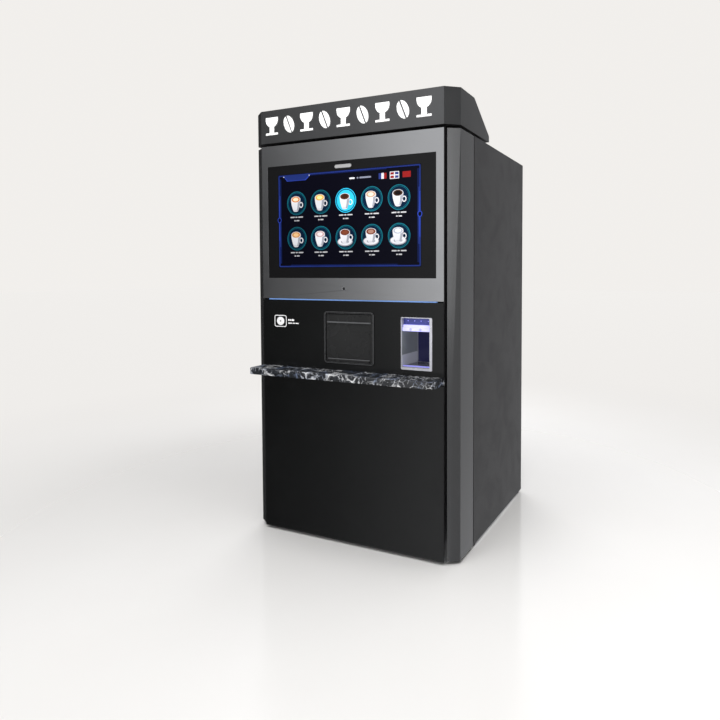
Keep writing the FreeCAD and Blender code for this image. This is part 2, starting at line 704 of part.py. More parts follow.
frame_body = new_body("hatch_frame", x="hatch_x", y="front")
rim = outline(frame_body, "XZ_Plane", rectangle(
    "-hatch_width / 2", "hatch_low", "hatch_width", "hatch_height"))
pad(frame_body, rim, "hatch_proud")
soften(frame_body, "hatch_corner", runs("y"))
tunnel_left = "-hatch_width / 2 + hatch_rim - hatch_wall"
tunnel = outline(frame_body, "XZ_Plane", rectangle(
    tunnel_left, "hatch_low + hatch_rim - hatch_wall",
    f"-2 * ({tunnel_left})", "hatch_height - 2 * (hatch_rim - hatch_wall)"))
pad(frame_body, tunnel, "door_depth", behind=True)
mouth = rectangle("-hatch_width / 2 + hatch_rim", "hatch_low + hatch_rim",
                  "hatch_width - 2 * hatch_rim", "hatch_height - 2 * hatch_rim")
pocket(frame_body, outline(frame_body, "XZ_Plane", mouth))
pocket(frame_body, outline(frame_body, "XZ_Plane", mouth), into=False)
pin_hole = circles(frame_body, "YZ_Plane", [("flap_axis_y - front", "flap_axis_z", "flap_pin")])
for into in (True, False):
    pocket(frame_body, pin_hole, into=into)
keep("hatch_frame", frame_body)

pin_half = "hatch_width / 2 - hatch_rim + hatch_wall"
keep("hatch_pin", rod("hatch_pin", "flap_pin", f"2 * ({pin_half})",
                      (f"hatch_x - ({pin_half})", "flap_axis_y", "flap_axis_z"), "x"))

flap_half = "hatch_width / 2 - hatch_rim - flap_play"
flap_low = "hatch_low + hatch_rim + flap_play"
flap_left = f"hatch_x - ({flap_half})"
flap_plate = block("flap_plate", (f"2 * ({flap_half})", "flap_thick", f"flap_axis_z - ({flap_low})"),
                   (flap_left, "flap_axis_y - flap_barrel", flap_low))
barrel = rod("flap_barrel_rod", "flap_barrel", f"2 * ({flap_half})",
             (flap_left, "flap_axis_y", "flap_axis_z"), "x")
flap_rib = block("flap_rib_bar", (f"2 * ({flap_half}) - 6 * flap_rib", "flap_rib", "flap_rib"),
                 (f"{flap_left} + 3 * flap_rib", "flap_axis_y - flap_barrel - flap_rib / 2",
                  "flap_axis_z - flap_rib_drop"))
flap_grip = block("flap_grip_bar", (f"2 * ({flap_half}) - 6 * flap_rib", "grip_proud", "grip_height"),
                  (f"{flap_left} + 3 * flap_rib", "flap_axis_y - flap_barrel - grip_proud + 1", flap_low))
keep("hatch_flap", carved(
    "hatch_flap", joined("flap_solid", flap_plate, barrel, flap_rib, flap_grip),
    rod("flap_bore_rod", "flap_bore", f"2 * ({flap_half}) + 2",
        (f"{flap_left} - 1", "flap_axis_y", "flap_axis_z"), "x")))


# ---- side bay with its nozzle block and grid, and the code reader ------------------------------

bay = new_body("bay_liner", y="front")
pad(bay, outline(bay, "XZ_Plane", rectangle("bay_left", "bay_low", "bay_width", "bay_height")),
    "bay_depth", behind=True)
pocket(bay, outline(bay, "XZ_Plane", rectangle(
    "bay_left + bay_wall", "bay_low + bay_wall", "bay_width - 2 * bay_wall", "bay_height - 2 * bay_wall")),
    "bay_depth - bay_wall", into=False)
keep("bay_liner", bay)

nozzle_x = "bay_left + bay_wall + nozzle_side"
nozzle_width = "bay_width - 2 * bay_wall - 2 * nozzle_side"
nozzle_low = "bay_top - bay_wall - nozzle_height"
nozzle_box = rounded("nozzle_box", block(
    "nozzle_blank", (nozzle_width, "nozzle_depth", "nozzle_height"),
    (nozzle_x, "front + bay_depth - bay_wall - nozzle_depth", nozzle_low)), "bay_corner", runs("z"))
spouts = [rod(f"nozzle_spout_{i}", "spout_radius", "spout_length + 4", (
    f"{nozzle_x} + ({nozzle_width}) * ({i} + 1) / 3",
    "front + bay_depth - bay_wall - nozzle_depth / 2", f"{nozzle_low} - spout_length")) for i in range(2)]
keep("bay_nozzle", joined("bay_nozzle", nozzle_box, *spouts))

grid = new_body("bay_drip_grid", z="bay_low + bay_wall")
grid_side, grid_deep = "bay_width - 2 * bay_wall - 1", "bay_depth - bay_wall - 4"
pad(grid, outline(grid, "XY_Plane", rectangle(
    "bay_left + bay_wall + 0.5", "front + 3", grid_side, grid_deep)), "grid_height")
for slot in range(6):
    pocket(grid, outline(grid, "XY_Plane", rectangle(
        "bay_left + bay_wall + 10.5", f"front + 13 + {slot} * ({grid_deep}) / 6.5",
        f"{grid_side} - 20", "10")))
keep("bay_drip_grid", grid)

reader = block("reader_blank",
               ("reader_width - 2 * running_play", "reader_thick", "reader_height - 2 * running_play"),
               ("reader_left + running_play", "front + reader_set", "reader_base + running_play"))
keep("scanner_window", rounded("scanner_window", reader, "reader_corner", runs("y")))


# ---- door lock: key cylinder with its cam, hooked latch bar and the studs it grips -------------

lock_face = "front - lock_proud"
key_slot = block("key_slot", ("slot_wide", "slot_deep", "lock_radius * 1.2"),
                 ("eye_x - slot_wide / 2", lock_face, "lock_z - lock_radius * 0.6"))
cam = block("lock_cam", ("cam_length", "cam_thick", "cam_width"),
            ("eye_x - cam_length + cam_width / 2", f"{lock_face} + lock_length - cam_thick",
             "lock_z - cam_width / 2"))
barrel_rod = rod("lock_barrel", "lock_radius", "lock_length", ("eye_x", lock_face, "lock_z"), "y")
keep("lock_cylinder", carved("lock_cylinder", joined("lock_solid", barrel_rod, cam), key_slot))

bar = new_body("latch_bar", y="latch_y + latch_thick")
pad(bar, outline(bar, "XZ_Plane", rectangle("latch_x", "latch_low", "latch_width", "latch_length")),
    "latch_thick")
for stud in ("stud_first", "stud_second"):
    pocket(bar, circles(bar, "XZ_Plane", [("stud_x", stud, "stud_head + keyhole_play")]))
    pocket(bar, outline(bar, "XZ_Plane", rectangle(
        "stud_x - stud_radius - latch_play", stud, "2 * (stud_radius + latch_play)",
        "latch_travel + stud_head")))
pad_places = ("latch_low", "latch_low + latch_length / 2", "latch_low + latch_length - latch_pad")
pads = [block(f"latch_pad_{i}", ("latch_width", "latch_set - latch_thick - sheet - running_play", "latch_pad"),
              ("latch_x", "latch_y + latch_thick", z)) for i, z in enumerate(pad_places)]
keep("latch_bar", joined("latch_bar_solid", bar, *pads))

studs = []
for i, z in enumerate(("stud_first", "stud_second")):
    head_back = "latch_y - 1"
    neck = rod(f"stud_neck_{i}", "stud_radius", f"cab_front - ({head_back})", ("stud_x", head_back, z), "y")
    head = rod(f"stud_cap_{i}", "stud_head", "head_thick", ("stud_x", f"{head_back} - head_thick", z), "y")
    studs.append(joined(f"stud_{i}", neck, head))
keep("latch_studs", grouped("latch_studs", *studs))


# ---- door hinges: bored blocks in the left column, pins on the cabinet's plates ----------------

blocks = []
tabs = []
for name, low, tab_low, pin_low in (
        ("low", "door_low", "foot_gap - hinge_plate", "foot_gap - hinge_plate"),
        ("top", "door_top - hinge_grip", "cab_top", "door_top - hinge_grip + 4")):
    solid = block(f"hinge_block_{name}", ("hinge_block", "hinge_block", "hinge_grip"),
                  ("sheet - side", "door_back - sheet - hinge_block", low))
    bore = rod(f"hinge_bore_{name}", "hinge_pin + pin_play", "hinge_grip + 2",
               ("hinge_x", "hinge_y", f"{low} - 1"))
    blocks.append(carved(f"hinge_bored_{name}", solid, bore))
    tab = block(f"hinge_tab_{name}", ("hinge_tab", "hinge_reach + hinge_block", "hinge_plate"),
                ("1 - side", "door_back - hinge_block", tab_low))
    pin = rod(f"hinge_pin_{name}", "hinge_pin", "hinge_grip - 4 + door_play", ("hinge_x", "hinge_y", pin_low))
    tabs.append(joined(f"hinge_leaf_{name}", tab, pin))
keep("door_pivots", grouped("door_pivots", *blocks))
keep("hinge_brackets", grouped("hinge_brackets", *tabs))


# ---- decks ------------------------------------------------------------------------------------

keep("machine_deck", tray("machine_deck", "deck_top - sheet", "deck_top", "deck_top - lip", "deck_top"))

upper = tray("upper_shelf", "upper_top - sheet", "upper_top", "upper_top - lip", "upper_top")
upper_holes = [
    (f"inner + canister_x + {i} * canister_pitch", "outlet_y", "outlet_radius + hole_play")
    for i in range(3)]
upper_holes += [
    (f"inner + hatch_x + {sign} * chute_shift", "cab_front + grinder_set + chute_set", "chute_radius")
    for sign in (-1, 1)]
upper_holes.append(("inner + turret_x", "carrier_y", "tube_radius + hole_play"))
pocket(upper, circles(upper, "XY_Plane", upper_holes))
keep("upper_shelf", upper)


# ---- cup store: carousel of tubes, dropper below it, sliding carrier on its rail ---------------

dropper = block("dropper_box", ("2 * dropper_half", "cup_pitch + dropper_half + 30", "dropper_height"),
                ("turret_x - dropper_half", "carrier_y - dropper_half + 8", "upper_top"))
drop_bore = rod("drop_bore", "tube_radius + hole_play", "dropper_height + 2",
                ("turret_x", "carrier_y", "upper_top - 1"))
shaft = rod("turret_shaft", "turret_shaft", "dropper_height + turret_tie",
            ("turret_x", "turret_y", "upper_top + 1"))
keep("cup_dropper", carved("cup_dropper", joined("dropper_solid", dropper, shaft), drop_bore))

turret = new_body("cup_turret", "turret_x", "turret_y", "turret_low")
pad(turret, circles(turret, "XY_Plane", [("0", "0", "turret_radius")]), "turret_plate")
pad(turret, circles(turret, "XY_Plane", [("0", "0", "turret_hub")]), "tube_length")
tube_ring = circles(turret, "XY_Plane", [("0", "-cup_pitch", "tube_radius")])
around(turret, pad(turret, tube_ring, "tube_length"), tube_ring, 5)
tube_hole = circles(turret, "XY_Plane", [("0", "-cup_pitch", "tube_radius - tube_wall")])
around(turret, pocket(turret, tube_hole), tube_hole, 5)
pocket(turret, circles(turret, "XY_Plane", [("0", "0", "turret_shaft + running_play")]), "turret_tie + 10")
keep("cup_turret", turret)

rail_left = "hatch_x - rail_over"
rail_length = f"turret_x + rail_over - ({rail_left})"
keep("carrier_rail", block("carrier_rail", (rail_length, "rail_width", "rail_height"),
                           (rail_left, "carrier_y - rail_width / 2", "deck_top")))

saddle_low = "deck_top + running_play"
saddle = block("saddle", ("saddle_length", "rail_width + 2 * saddle_cheek", "rail_height + saddle_height"),
               ("hatch_x - saddle_length / 2", "carrier_y - rail_width / 2 - saddle_cheek", saddle_low))
slot_half = "(rail_width / 2 + running_play)"
saddle_slot = block("saddle_slot", ("saddle_length + 2", f"2 * {slot_half}", "rail_height"),
                    ("hatch_x - saddle_length / 2 - 1", f"carrier_y - {slot_half}", saddle_low))
ring_low = "deck_top + rail_height + saddle_height"
cup_ring = rod("cup_ring", "ring_radius", "ring_height", ("hatch_x", "carrier_y", ring_low))
cup_bore = rod("cup_bore", "ring_radius - ring_wall", "ring_height",
               ("hatch_x", "carrier_y", f"{ring_low} + ring_wall"))
keep("cup_carrier", carved("cup_carrier", joined("carrier_solid", saddle, cup_ring), saddle_slot, cup_bore))


# ---- powder canisters, mixing bowls and whippers -----------------------------------------------

canisters = []
bowls = []
whippers = []
for i in range(3):
    x = f"canister_x + {i} * canister_pitch"
    can_front = "cab_front + canister_set"
    can = rounded(f"can_shell_{i}", block(
        f"can_blank_{i}", ("canister_width", "canister_depth", "canister_height"),
        (f"{x} - canister_width / 2", can_front, "upper_top")), "canister_round", runs("z"))
    lid = block(f"can_lid_{i}",
                ("canister_width + 2 * lid_over", "canister_depth + 2 * lid_over", "lid_height"),
                (f"{x} - canister_width / 2 - lid_over", f"{can_front} - lid_over",
                 "upper_top + canister_height"))
    bridge = block(f"can_bridge_{i}", ("2 * outlet_radius", "canister_set - outlet_set + 10", "outlet_height"),
                   (f"{x} - outlet_radius", "outlet_y", "upper_top"))
    outlet = rod(f"can_outlet_{i}", "outlet_radius", "outlet_height + outlet_drop",
                 (x, "outlet_y", "upper_top - outlet_drop"))
    canisters.append(joined(f"canister_{i}", can, lid, bridge, outlet))

    bowl = turned(f"bowl_{i}", [
        ("0", "0"), ("whip_box / 2 - 2", "0"), ("bowl_top_radius", "bowl_height"),
        ("bowl_top_radius - bowl_wall", "bowl_height"), ("whip_box / 2 - 2 - bowl_wall", "bowl_wall"),
        ("0", "bowl_wall"),
    ], x, "outlet_y", "bowl_low")
    whip = block(f"whip_box_{i}", ("whip_box", "whip_box", "whip_height"),
                 (f"{x} - whip_box / 2", "outlet_y - whip_box / 2", "whip_low"))
    spout = rod(f"bowl_spout_{i}", "bowl_spout", "spout_reach", (x, "outlet_y", "whip_low - spout_reach + 2"))
    bowls.append(joined(f"mixing_bowl_{i}", bowl, whip, spout))

    axis_z = "whip_low + whip_height / 2"
    boss = rod(f"whip_boss_{i}", "boss_radius", "boss_length + 2", (x, "outlet_y + whip_box / 2", axis_z), "y")
    motor_face = "outlet_y + whip_box / 2 + boss_length"
    motor = rod(f"whip_motor_{i}", "motor_radius", "motor_length", (x, motor_face, axis_z), "y")
    strap = block(f"whip_strap_{i}", ("strap_width", "sheet", f"upper_top - sheet - ({axis_z})"),
                  (f"{x} - strap_width / 2", f"{motor_face} + motor_length / 2", axis_z))
    whippers.append(joined(f"whipper_{i}", boss, motor, strap))
keep("powder_canisters", grouped("powder_canisters", *canisters))
keep("mixing_bowls", grouped("mixing_bowls", *bowls))
keep("whipper_motors", grouped("whipper_motors", *whippers))


# ---- bean hoppers with hinged lids, grinders and the brewer -----------------------------------

grinders = []
hoppers = []
grinder_y = "cab_front + grinder_set"
for i, (side_name, sign) in enumerate((("left", -1), ("right", 1))):
    x = f"hatch_x + {sign} * grinder_pitch / 2"
    case = rounded(f"grinder_case_{i}", block(
        f"grinder_blank_{i}", ("grinder_width", "grinder_depth", "grinder_height"),
        (f"{x} - grinder_width / 2", grinder_y, "upper_top")), "grinder_round", runs("z"))
    chute = rod(f"grinder_chute_{i}", "chute_radius - 0.5", "sheet + 4",
                (f"hatch_x + {sign} * chute_shift", f"{grinder_y} + chute_set", "upper_top - sheet"))
    grinders.append(joined(f"grinder_{i}", case, chute))

    hopper = new_body(f"hopper_{i}", x, "hopper_front", "hopper_low")
    half = "grinder_width / 2"
    pad(hopper, outline(hopper, "YZ_Plane", [
        ("hopper_foot", "0"), ("hopper_depth - hopper_foot", "0"), ("hopper_depth", "hopper_foot * 2"),
        ("hopper_depth", "hopper_height"), ("0", "hopper_height"), ("0", "hopper_foot * 2"),
    ]), "grinder_width")
    hopper.setExpression("Placement.Base.x", formula(f"{x} - {half}"))
    hollow(hopper, "hopper_wall", lambda centre: -centre.z)
    hoppers.append(hopper)
    ear = block(f"lid_ear_{i}", ("ear_width", "lid_ear + lid_pin + 2", "ear_height"),
                (f"{x} - ear_width / 2", "hopper_back", "lid_axis_z - ear_height + 4"))
    ear_bore = rod(f"ear_bore_{i}", "lid_pin + pin_play", "ear_width + 2",
                   (f"{x} - ear_width / 2 - 1", "lid_axis_y", "lid_axis_z"), "x")
    hoppers[-1] = carved(f"hopper_eared_{i}", joined(f"hopper_ear_{i}", hopper, ear), ear_bore)

    plate = block(f"lid_plate_{i}", ("grinder_width", "hopper_depth", "hopper_lid"),
                  (f"{x} - {half}", "hopper_front", "hopper_top + running_play"))
    knob = block(f"lid_knob_{i}", ("knob_width", "knob_depth", "hopper_lid + knob_rise"),
                 (f"{x} - knob_width / 2", "hopper_front + 8", "hopper_top + running_play"))
    pin_end = "(ear_width / 2 + running_play + lug_width)"
    lugs = [block(f"lid_lug_{i}_{j}", ("lug_width", "lid_ear + lid_pin + 4", "hopper_lid"),
                  (f"{x} + {left}", "hopper_back - 2", "hopper_top + running_play"))
            for j, left in enumerate((f"-{pin_end}", "ear_width / 2 + running_play"))]
    pin = rod(f"lid_pin_{i}", "lid_pin", f"2 * {pin_end}",
              (f"{x} - {pin_end}", "lid_axis_y", "lid_axis_z"), "x")
    notch = block(f"lid_notch_{i}", ("ear_width + 3", "9", "hopper_lid + 2"),
                  (f"{x} - ear_width / 2 - 1.5", "hopper_back - 8", "hopper_top"))
    cover = carved(f"lid_cover_{i}", plate, notch)
    lid_name = f"hopper_lid_{side_name}"
    keep(lid_name, joined(lid_name, cover, knob, pin, *lugs))
keep("bean_hoppers", grouped("bean_hoppers", *hoppers))
keep("grinders", grouped("grinders", *grinders))

brewer_left = "hatch_x - brewer_width / 2"
brewer_case = block("brewer_case", ("brewer_width", "brewer_depth", "brewer_height"),
                    (brewer_left, "brewer_front", "brewer_low"))
brewer_cave = block("brewer_cave", ("brewer_width - 2 * brewer_wall", "brewer_depth - brewer_back",
                                    "brewer_height - 2 * brewer_wall - chute_shift * 2"),
                    (f"{brewer_left} + brewer_wall", "brewer_front - 1", "chamber_low"))
chamber = rod("chamber", "chamber_radius", "chamber_height + 1", ("hatch_x", "chamber_y", "chamber_low - 1"))
chamber_bore = rod("chamber_bore", "chamber_bore", "chamber_height + 1",
                   ("hatch_x", "chamber_y", "chamber_low + 2"))
rod_bore = rod("rod_bore", "piston_rod + running_play", "brewer_height",
               ("hatch_x", "chamber_y", "chamber_top + 10"))
arm = block("brewer_arm", ("arm_width", "brewer_front - carrier_y + arm_width / 2 + 2", "arm_height"),
            ("hatch_x - arm_width / 2", "carrier_y - arm_width / 2", "brewer_low"))
nozzles = [rod(f"brewer_nozzle_{i}", "spout_radius", "nozzle_drop + 2",
               (f"hatch_x + {sign} * nozzle_shift", "carrier_y", "brewer_low - nozzle_drop"))
           for i, sign in enumerate((-1, 1))]
brewer_shell = carved("brewer_shell", brewer_case, brewer_cave)
keep("brewer_body", carved("brewer_body", joined("brewer_solid", brewer_shell, chamber, arm, *nozzles),
                           chamber_bore, rod_bore))

piston_low = "chamber_top + piston_gap"
piston_head = rod("piston_head", "piston_radius", "piston_thick", ("hatch_x", "chamber_y", piston_low))
piston_stem = rod("piston_stem", "piston_rod", f"brewer_top - 12 - ({piston_low})",
                  ("hatch_x", "chamber_y", piston_low))
keep("brewer_piston", joined("brewer_piston", piston_head, piston_stem))


# ---- water: boiler, pump, bottles and hoses ----------------------------------------------------

boiler_top = "boiler_foot + boiler_height"
keep("boiler", turned("boiler", [
    ("0", "0"), ("boiler_radius * 0.6", "0"), ("boiler_radius * 0.6", "boiler_foot"),
    ("boiler_radius - 8", "boiler_foot"), ("boiler_radius", "boiler_foot + 8"),
    ("boiler_radius", f"{boiler_top} - 14"), ("boiler_radius * 0.6", boiler_top),
    ("hose_radius * 2", boiler_top), ("hose_radius * 2", f"{boiler_top} + 14"),
    ("0", f"{boiler_top} + 14"),
], "boiler_x", "boiler_y", "deck_top"))

pump_case = rod("pump_case", "pump_radius", "pump_length", ("pump_x", "pump_y", "pump_z"), "x")
pump_foot = block("pump_foot_block", ("pump_length * 0.6", "pump_radius * 1.6", "pump_foot + pump_radius"),
                  ("pump_x + pump_length * 0.2", "pump_y - pump_radius * 0.8", "deck_top"))
pump_stub = rod("pump_stub", "hose_radius * 1.6", "16", ("pump_x + pump_length - 2", "pump_y", "pump_z"), "x")
keep("water_pump", joined("water_pump", pump_case, pump_foot, pump_stub))

pump_end = "pump_x + pump_length + 14"
boiler_cap = f"deck_top + {boiler_top} + 14"
brewer_rear = "brewer_front + brewer_depth"
hose_lines = {
    "feed": [
        (pump_end, "pump_y", "pump_z"), (f"{pump_end} + 60", "pump_y", "pump_z"),
        (f"{pump_end} + 80", "pump_y", "pump_z + 60"), (f"{pump_end} + 80", "pump_y", f"{boiler_cap} + 40"),
        ("boiler_x - 60", "boiler_y", f"{boiler_cap} + 80"), ("boiler_x", "boiler_y", f"{boiler_cap} + 60"),
        ("boiler_x", "boiler_y", boiler_cap),
    ],
    "brew": [
        ("hatch_x", brewer_rear, "brewer_low + 40"), ("hatch_x", f"{brewer_rear} + 50", "brewer_low + 40"),
        ("hatch_x", f"{brewer_rear} + 80", "brewer_low - 10"),
        ("hatch_x", f"{brewer_rear} + 80", "deck_top"),
    ],
}
hoses = []
for name, line in hose_lines.items():
    hose = doc.addObject("Part::Feature", f"hose_{name}")
    hose.Shape = tube_run(line, "hose_radius")
    hoses.append(hose)
keep("water_hoses", grouped("water_hoses", *hoses))

bottle_profile = [
    ("0", "0"), ("bottle_radius - bottle_round", "0"), ("bottle_radius", "bottle_round"),
    ("bottle_radius", "bottle_height - bottle_shoulder"), ("bottle_neck + 6", "bottle_height"),
    ("bottle_neck", "bottle_height"), ("bottle_neck", "bottle_height + bottle_neck_height"),
    ("0", "bottle_height + bottle_neck_height"),
]
keep("water_bottles", grouped("water_bottles", *(
    turned(f"bottle_{i}", bottle_profile, "bottle_x",
           f"bottle_y + {i} * (2 * bottle_radius + bottle_gap)", "floor_top") for i in range(2))))


# ---- waste bin for the coffee grounds -----------------------------------------------------------

waste = new_body("waste_bin", "hatch_x", "cab_front + bin_set", "floor_top + running_play")
pad(waste, outline(waste, "XY_Plane", rectangle("-bin_width / 2", "0", "bin_width", "bin_depth")),
    "bin_height")
soften(waste, "bin_round", runs("z"))
hollow(waste, "bin_wall", lambda centre: -centre.z)
handle = block("bin_handle_bar", ("bin_handle", "bin_grip + 1", "bin_grip"),
               ("hatch_x - bin_handle / 2", "cab_front + bin_set - bin_grip",
                "floor_top + bin_height - 4 * bin_grip"))
keep("waste_bin", joined("waste_bin_solid", waste, handle))


# ---- electrics, fan and the two supply connections ----------------------------------------------

keep("control_box", rounded("control_box", block(
    "control_blank", ("box_thick", "box_width", "box_height"),
    ("inner - box_thick", "cab_front + box_set", "box_low")), "sheet * 2", runs("z")))
keep("power_supply", rounded("power_supply", block(
    "supply_blank", ("supply_width", "supply_depth", "supply_height"),
    ("inner - 20 - supply_width", "back - supply_rear - supply_depth", "floor_top")), "sheet", runs("z")))

fan_frame = new_body("fan_frame", "fan_x", "back - sheet", "fan_z")
pad(fan_frame, outline(fan_frame, "XZ_Plane", rectangle(
    "-fan_size / 2", "-fan_size / 2", "fan_size", "fan_size")), "fan_depth")
soften(fan_frame, "fan_corner", runs("y"))
pocket(fan_frame, circles(fan_frame, "XZ_Plane", [("0", "0", "fan_bore")]))
spider_y = "back - sheet - fan_depth"
arms = [block(f"fan_arm_{i}", size, corner) for i, (size, corner) in enumerate((
    (("fan_size - 4", "fan_spider", "8"), ("fan_x - fan_size / 2 + 2", spider_y, "fan_z - 4")),
    (("8", "fan_spider", "fan_size - 4"), ("fan_x - 4", spider_y, "fan_z - fan_size / 2 + 2"))))]
fan_cap = rod("fan_cap", "fan_hub", "fan_spider", ("fan_x", spider_y, "fan_z"), "y")
fan_axle = rod("fan_axle", "fan_shaft", "fan_depth - 8", ("fan_x", spider_y, "fan_z"), "y")
keep("fan_frame", joined("fan_frame_solid", fan_frame, fan_cap, fan_axle, *arms))

rotor = new_body("fan_rotor", "fan_x", "back - sheet - 4", "fan_z")
pad(rotor, circles(rotor, "XZ_Plane", [("0", "0", "fan_hub")]), "fan_depth - fan_spider - 5")
blade = outline(rotor, "XZ_Plane", [
    ("0", "-3"), ("fan_blade * 0.55", "-14"), ("fan_blade * 0.95", "-10"),
    ("fan_blade * 0.95", "12"), ("fan_blade * 0.5", "8"), ("0", "3"),
])
around(rotor, pad(rotor, blade, "3"), blade, 7)
pocket(rotor, circles(rotor, "XZ_Plane", [("0", "0", "fan_shaft + pin_play")]))
keep("fan_rotor", rotor)

inlet = block("inlet_body", ("mains_width", "mains_depth", "mains_height"),
              ("mains_x - mains_width / 2", "back - mains_depth", "mains_z - mains_height / 2"))
inlet_well = block("inlet_well", ("mains_width - 2 * mains_cheek", "mains_well + 2", "mains_height - 10"),
                   ("mains_x - mains_width / 2 + mains_cheek", "back - mains_well",
                    "mains_z - mains_height / 2 + 5"))
blades = [block(f"inlet_pin_{i}", ("2", "mains_well - 1", "5"),
                (f"mains_x + {shift} - 1", "back - mains_well - 2", f"mains_z + {rise}"))
          for i, (shift, rise) in enumerate(((-7, -5), (7, -5), (0, 1)))]
keep("mains_inlet", joined("mains_inlet", carved("inlet_shell", inlet, inlet_well), *blades))

thread_base = "back - thread_length"
stub = rod("inlet_thread", "thread_radius", "thread_length", ("water_x", thread_base, "water_z"), "y")
nut = rod("inlet_flange", "water_nut", "nut_thick", ("water_x", f"{thread_base} - nut_thick", "water_z"), "y")
well = rod("inlet_collar", "water_nut", "thread_length - sheet", ("water_x", thread_base, "water_z"), "y")
well_bore = rod("inlet_clear", "water_hole", "thread_length", ("water_x", thread_base, "water_z"), "y")
keep("water_inlet", joined("water_inlet", carved("inlet_ring", well, well_bore), nut, stub))


# ---- check and write ----------------------------------------------------------------------------

doc.recompute()
for item in doc.Objects:
    if "Invalid" in item.State or "Error" in item.State:
        raise ValueError(f"{item.Name} failed: {item.State}")
os.makedirs("parts", exist_ok=True)
for label, item in parts.items():
    if item.Shape.isNull() or not item.Shape.isValid() or not item.Shape.Solids:
        raise ValueError(f"{label} is not a sound solid")
for label, item in parts.items():
    item.Shape.exportStep(f"parts/{label}.step")
print(len(parts), "sub-parts written")
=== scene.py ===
import math
import random

import bmesh
import bpy
from mathutils import Matrix, Vector


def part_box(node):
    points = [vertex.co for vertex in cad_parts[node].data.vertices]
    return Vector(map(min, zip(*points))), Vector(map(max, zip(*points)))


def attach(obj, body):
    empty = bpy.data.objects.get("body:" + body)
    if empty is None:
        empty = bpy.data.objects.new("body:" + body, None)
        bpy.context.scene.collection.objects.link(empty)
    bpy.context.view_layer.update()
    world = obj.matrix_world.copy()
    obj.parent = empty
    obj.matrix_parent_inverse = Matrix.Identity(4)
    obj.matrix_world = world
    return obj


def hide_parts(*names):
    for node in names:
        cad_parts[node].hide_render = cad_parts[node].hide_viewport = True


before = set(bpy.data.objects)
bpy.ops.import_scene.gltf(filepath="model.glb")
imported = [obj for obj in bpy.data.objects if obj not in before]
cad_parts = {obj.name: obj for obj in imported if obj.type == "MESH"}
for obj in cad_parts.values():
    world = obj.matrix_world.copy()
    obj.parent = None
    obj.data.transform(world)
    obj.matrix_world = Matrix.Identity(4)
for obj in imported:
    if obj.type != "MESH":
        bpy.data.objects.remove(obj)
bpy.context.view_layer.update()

# ---- studio -------------------------------------------------------------------------------------
# A pale polished floor and an even pale surround with soft panels of light. The camera stands to
# the right of the machine at chest height, where a visitor would stand.

EYE_PLACE = (1.3678, -2.5095, 1.1683)
EYE_TURN, EYE_DROP = math.radians(23.98), math.radians(2.36)
EYE_LENS, EYE_SHIFT = 29.2, (-0.1111, -0.0850)
HALF_TURN, QUARTER_TURN = math.pi, math.pi / 2
ROOM_COLOUR = (0.885, 0.865, 0.84)
FAR_COLOUR, DARK = (0.838, 0.820, 0.797), (0.0, 0.0, 0.0)
FLOOR_REACH = 40.0
FLOOR_PALE, FLOOR_DEEP = (0.88, 0.87, 0.855), (0.80, 0.785, 0.76)
FADE_START, FADE_END = 0.9, 4.2
LEFTWARD = (-0.95, 0.0, -0.10)
SHINE_STEPS = ((0.0, 0.20), (0.335, 0.22), (0.40, 0.66), (0.50, 0.75), (0.69, 1.05), (0.755, 0.38),
               (0.81, 0.07), (1.0, 0.03))


def plugged(tree, item, plugs):
    """Give a node's sockets their values, or link them to another node's output."""
    for title, value in plugs.items():
        socket = item.inputs[title]
        if isinstance(value, bpy.types.NodeSocket):
            tree.links.new(value, socket)
        else:
            socket.default_value = (*value, 1.0) if socket.type == "RGBA" else value
    return item


def wired(tree, kind, plugs, **modes):
    """Add a shader node with its modes and plugs."""
    item = tree.nodes.new("ShaderNode" + kind)
    for title, mode in modes.items():
        setattr(item, title, mode)
    return plugged(tree, item, plugs)


def own_space(tree):
    return wired(tree, "TexCoord", {}).outputs["Object"]


def noise(tree, place, scale, detail, **plugs):
    return wired(tree, "TexNoise", {"Vector": place, "Scale": scale, "Detail": detail, **plugs})


def remap(tree, value, low=0.0, high=1.0, to_low=0.0, to_high=1.0, **modes):
    """Stretch a value from one range to another."""
    return wired(tree, "MapRange", {"Value": value, "From Min": low, "From Max": high,
                                    "To Min": to_low, "To Max": to_high}, **modes).outputs["Result"]


def mixed(tree, share, first, second, **modes):
    """Mix two colours."""
    return wired(tree, "Mix", {"Factor": share, "A": first, "B": second}, data_type="RGBA",
                 **modes).outputs["Result"]


def ramp(tree, share, steps):
    """Colour along a ramp of (place, colour) steps."""
    item = wired(tree, "ValToRGB", {"Fac": share})
    marks = item.color_ramp.elements
    for number, (spot, colour) in enumerate(steps):
        mark = marks[number] if number < 2 else marks.new(spot)
        mark.position, mark.color = spot, (*colour, 1.0)
    return item.outputs["Color"]


def bare_material(name):
    """A fresh material with its nodes and surface shader."""
    material = bpy.data.materials.new(name)
    material.use_nodes = True
    return material, material.node_tree, material.node_tree.nodes["Principled BSDF"]


def hung_light(name, place, aim, size, watts, mirrored=False):
    """A soft panel of light; only a mirrored one shows as a reflection."""
    lamp = bpy.data.lights.new(name, "AREA")
    lamp.shape = "RECTANGLE"
    lamp.size, lamp.size_y = size
    lamp.energy = watts
    holder = bpy.data.objects.new(name, lamp)
    bpy.context.collection.objects.link(holder)
    holder.location = place
    holder.visible_glossy = mirrored
    holder.rotation_euler = (Vector(aim) - Vector(place)).to_track_quat("-Z", "Y").to_euler()


eye = bpy.data.objects.new("eye", bpy.data.cameras.new("eye"))
bpy.context.collection.objects.link(eye)
eye.location = EYE_PLACE
eye.rotation_euler = (QUARTER_TURN - EYE_DROP, 0.0, EYE_TURN)
eye.data.lens = EYE_LENS
eye.data.shift_x, eye.data.shift_y = EYE_SHIFT
bpy.context.scene.camera = eye
bpy.context.scene.view_settings.view_transform = "Standard"

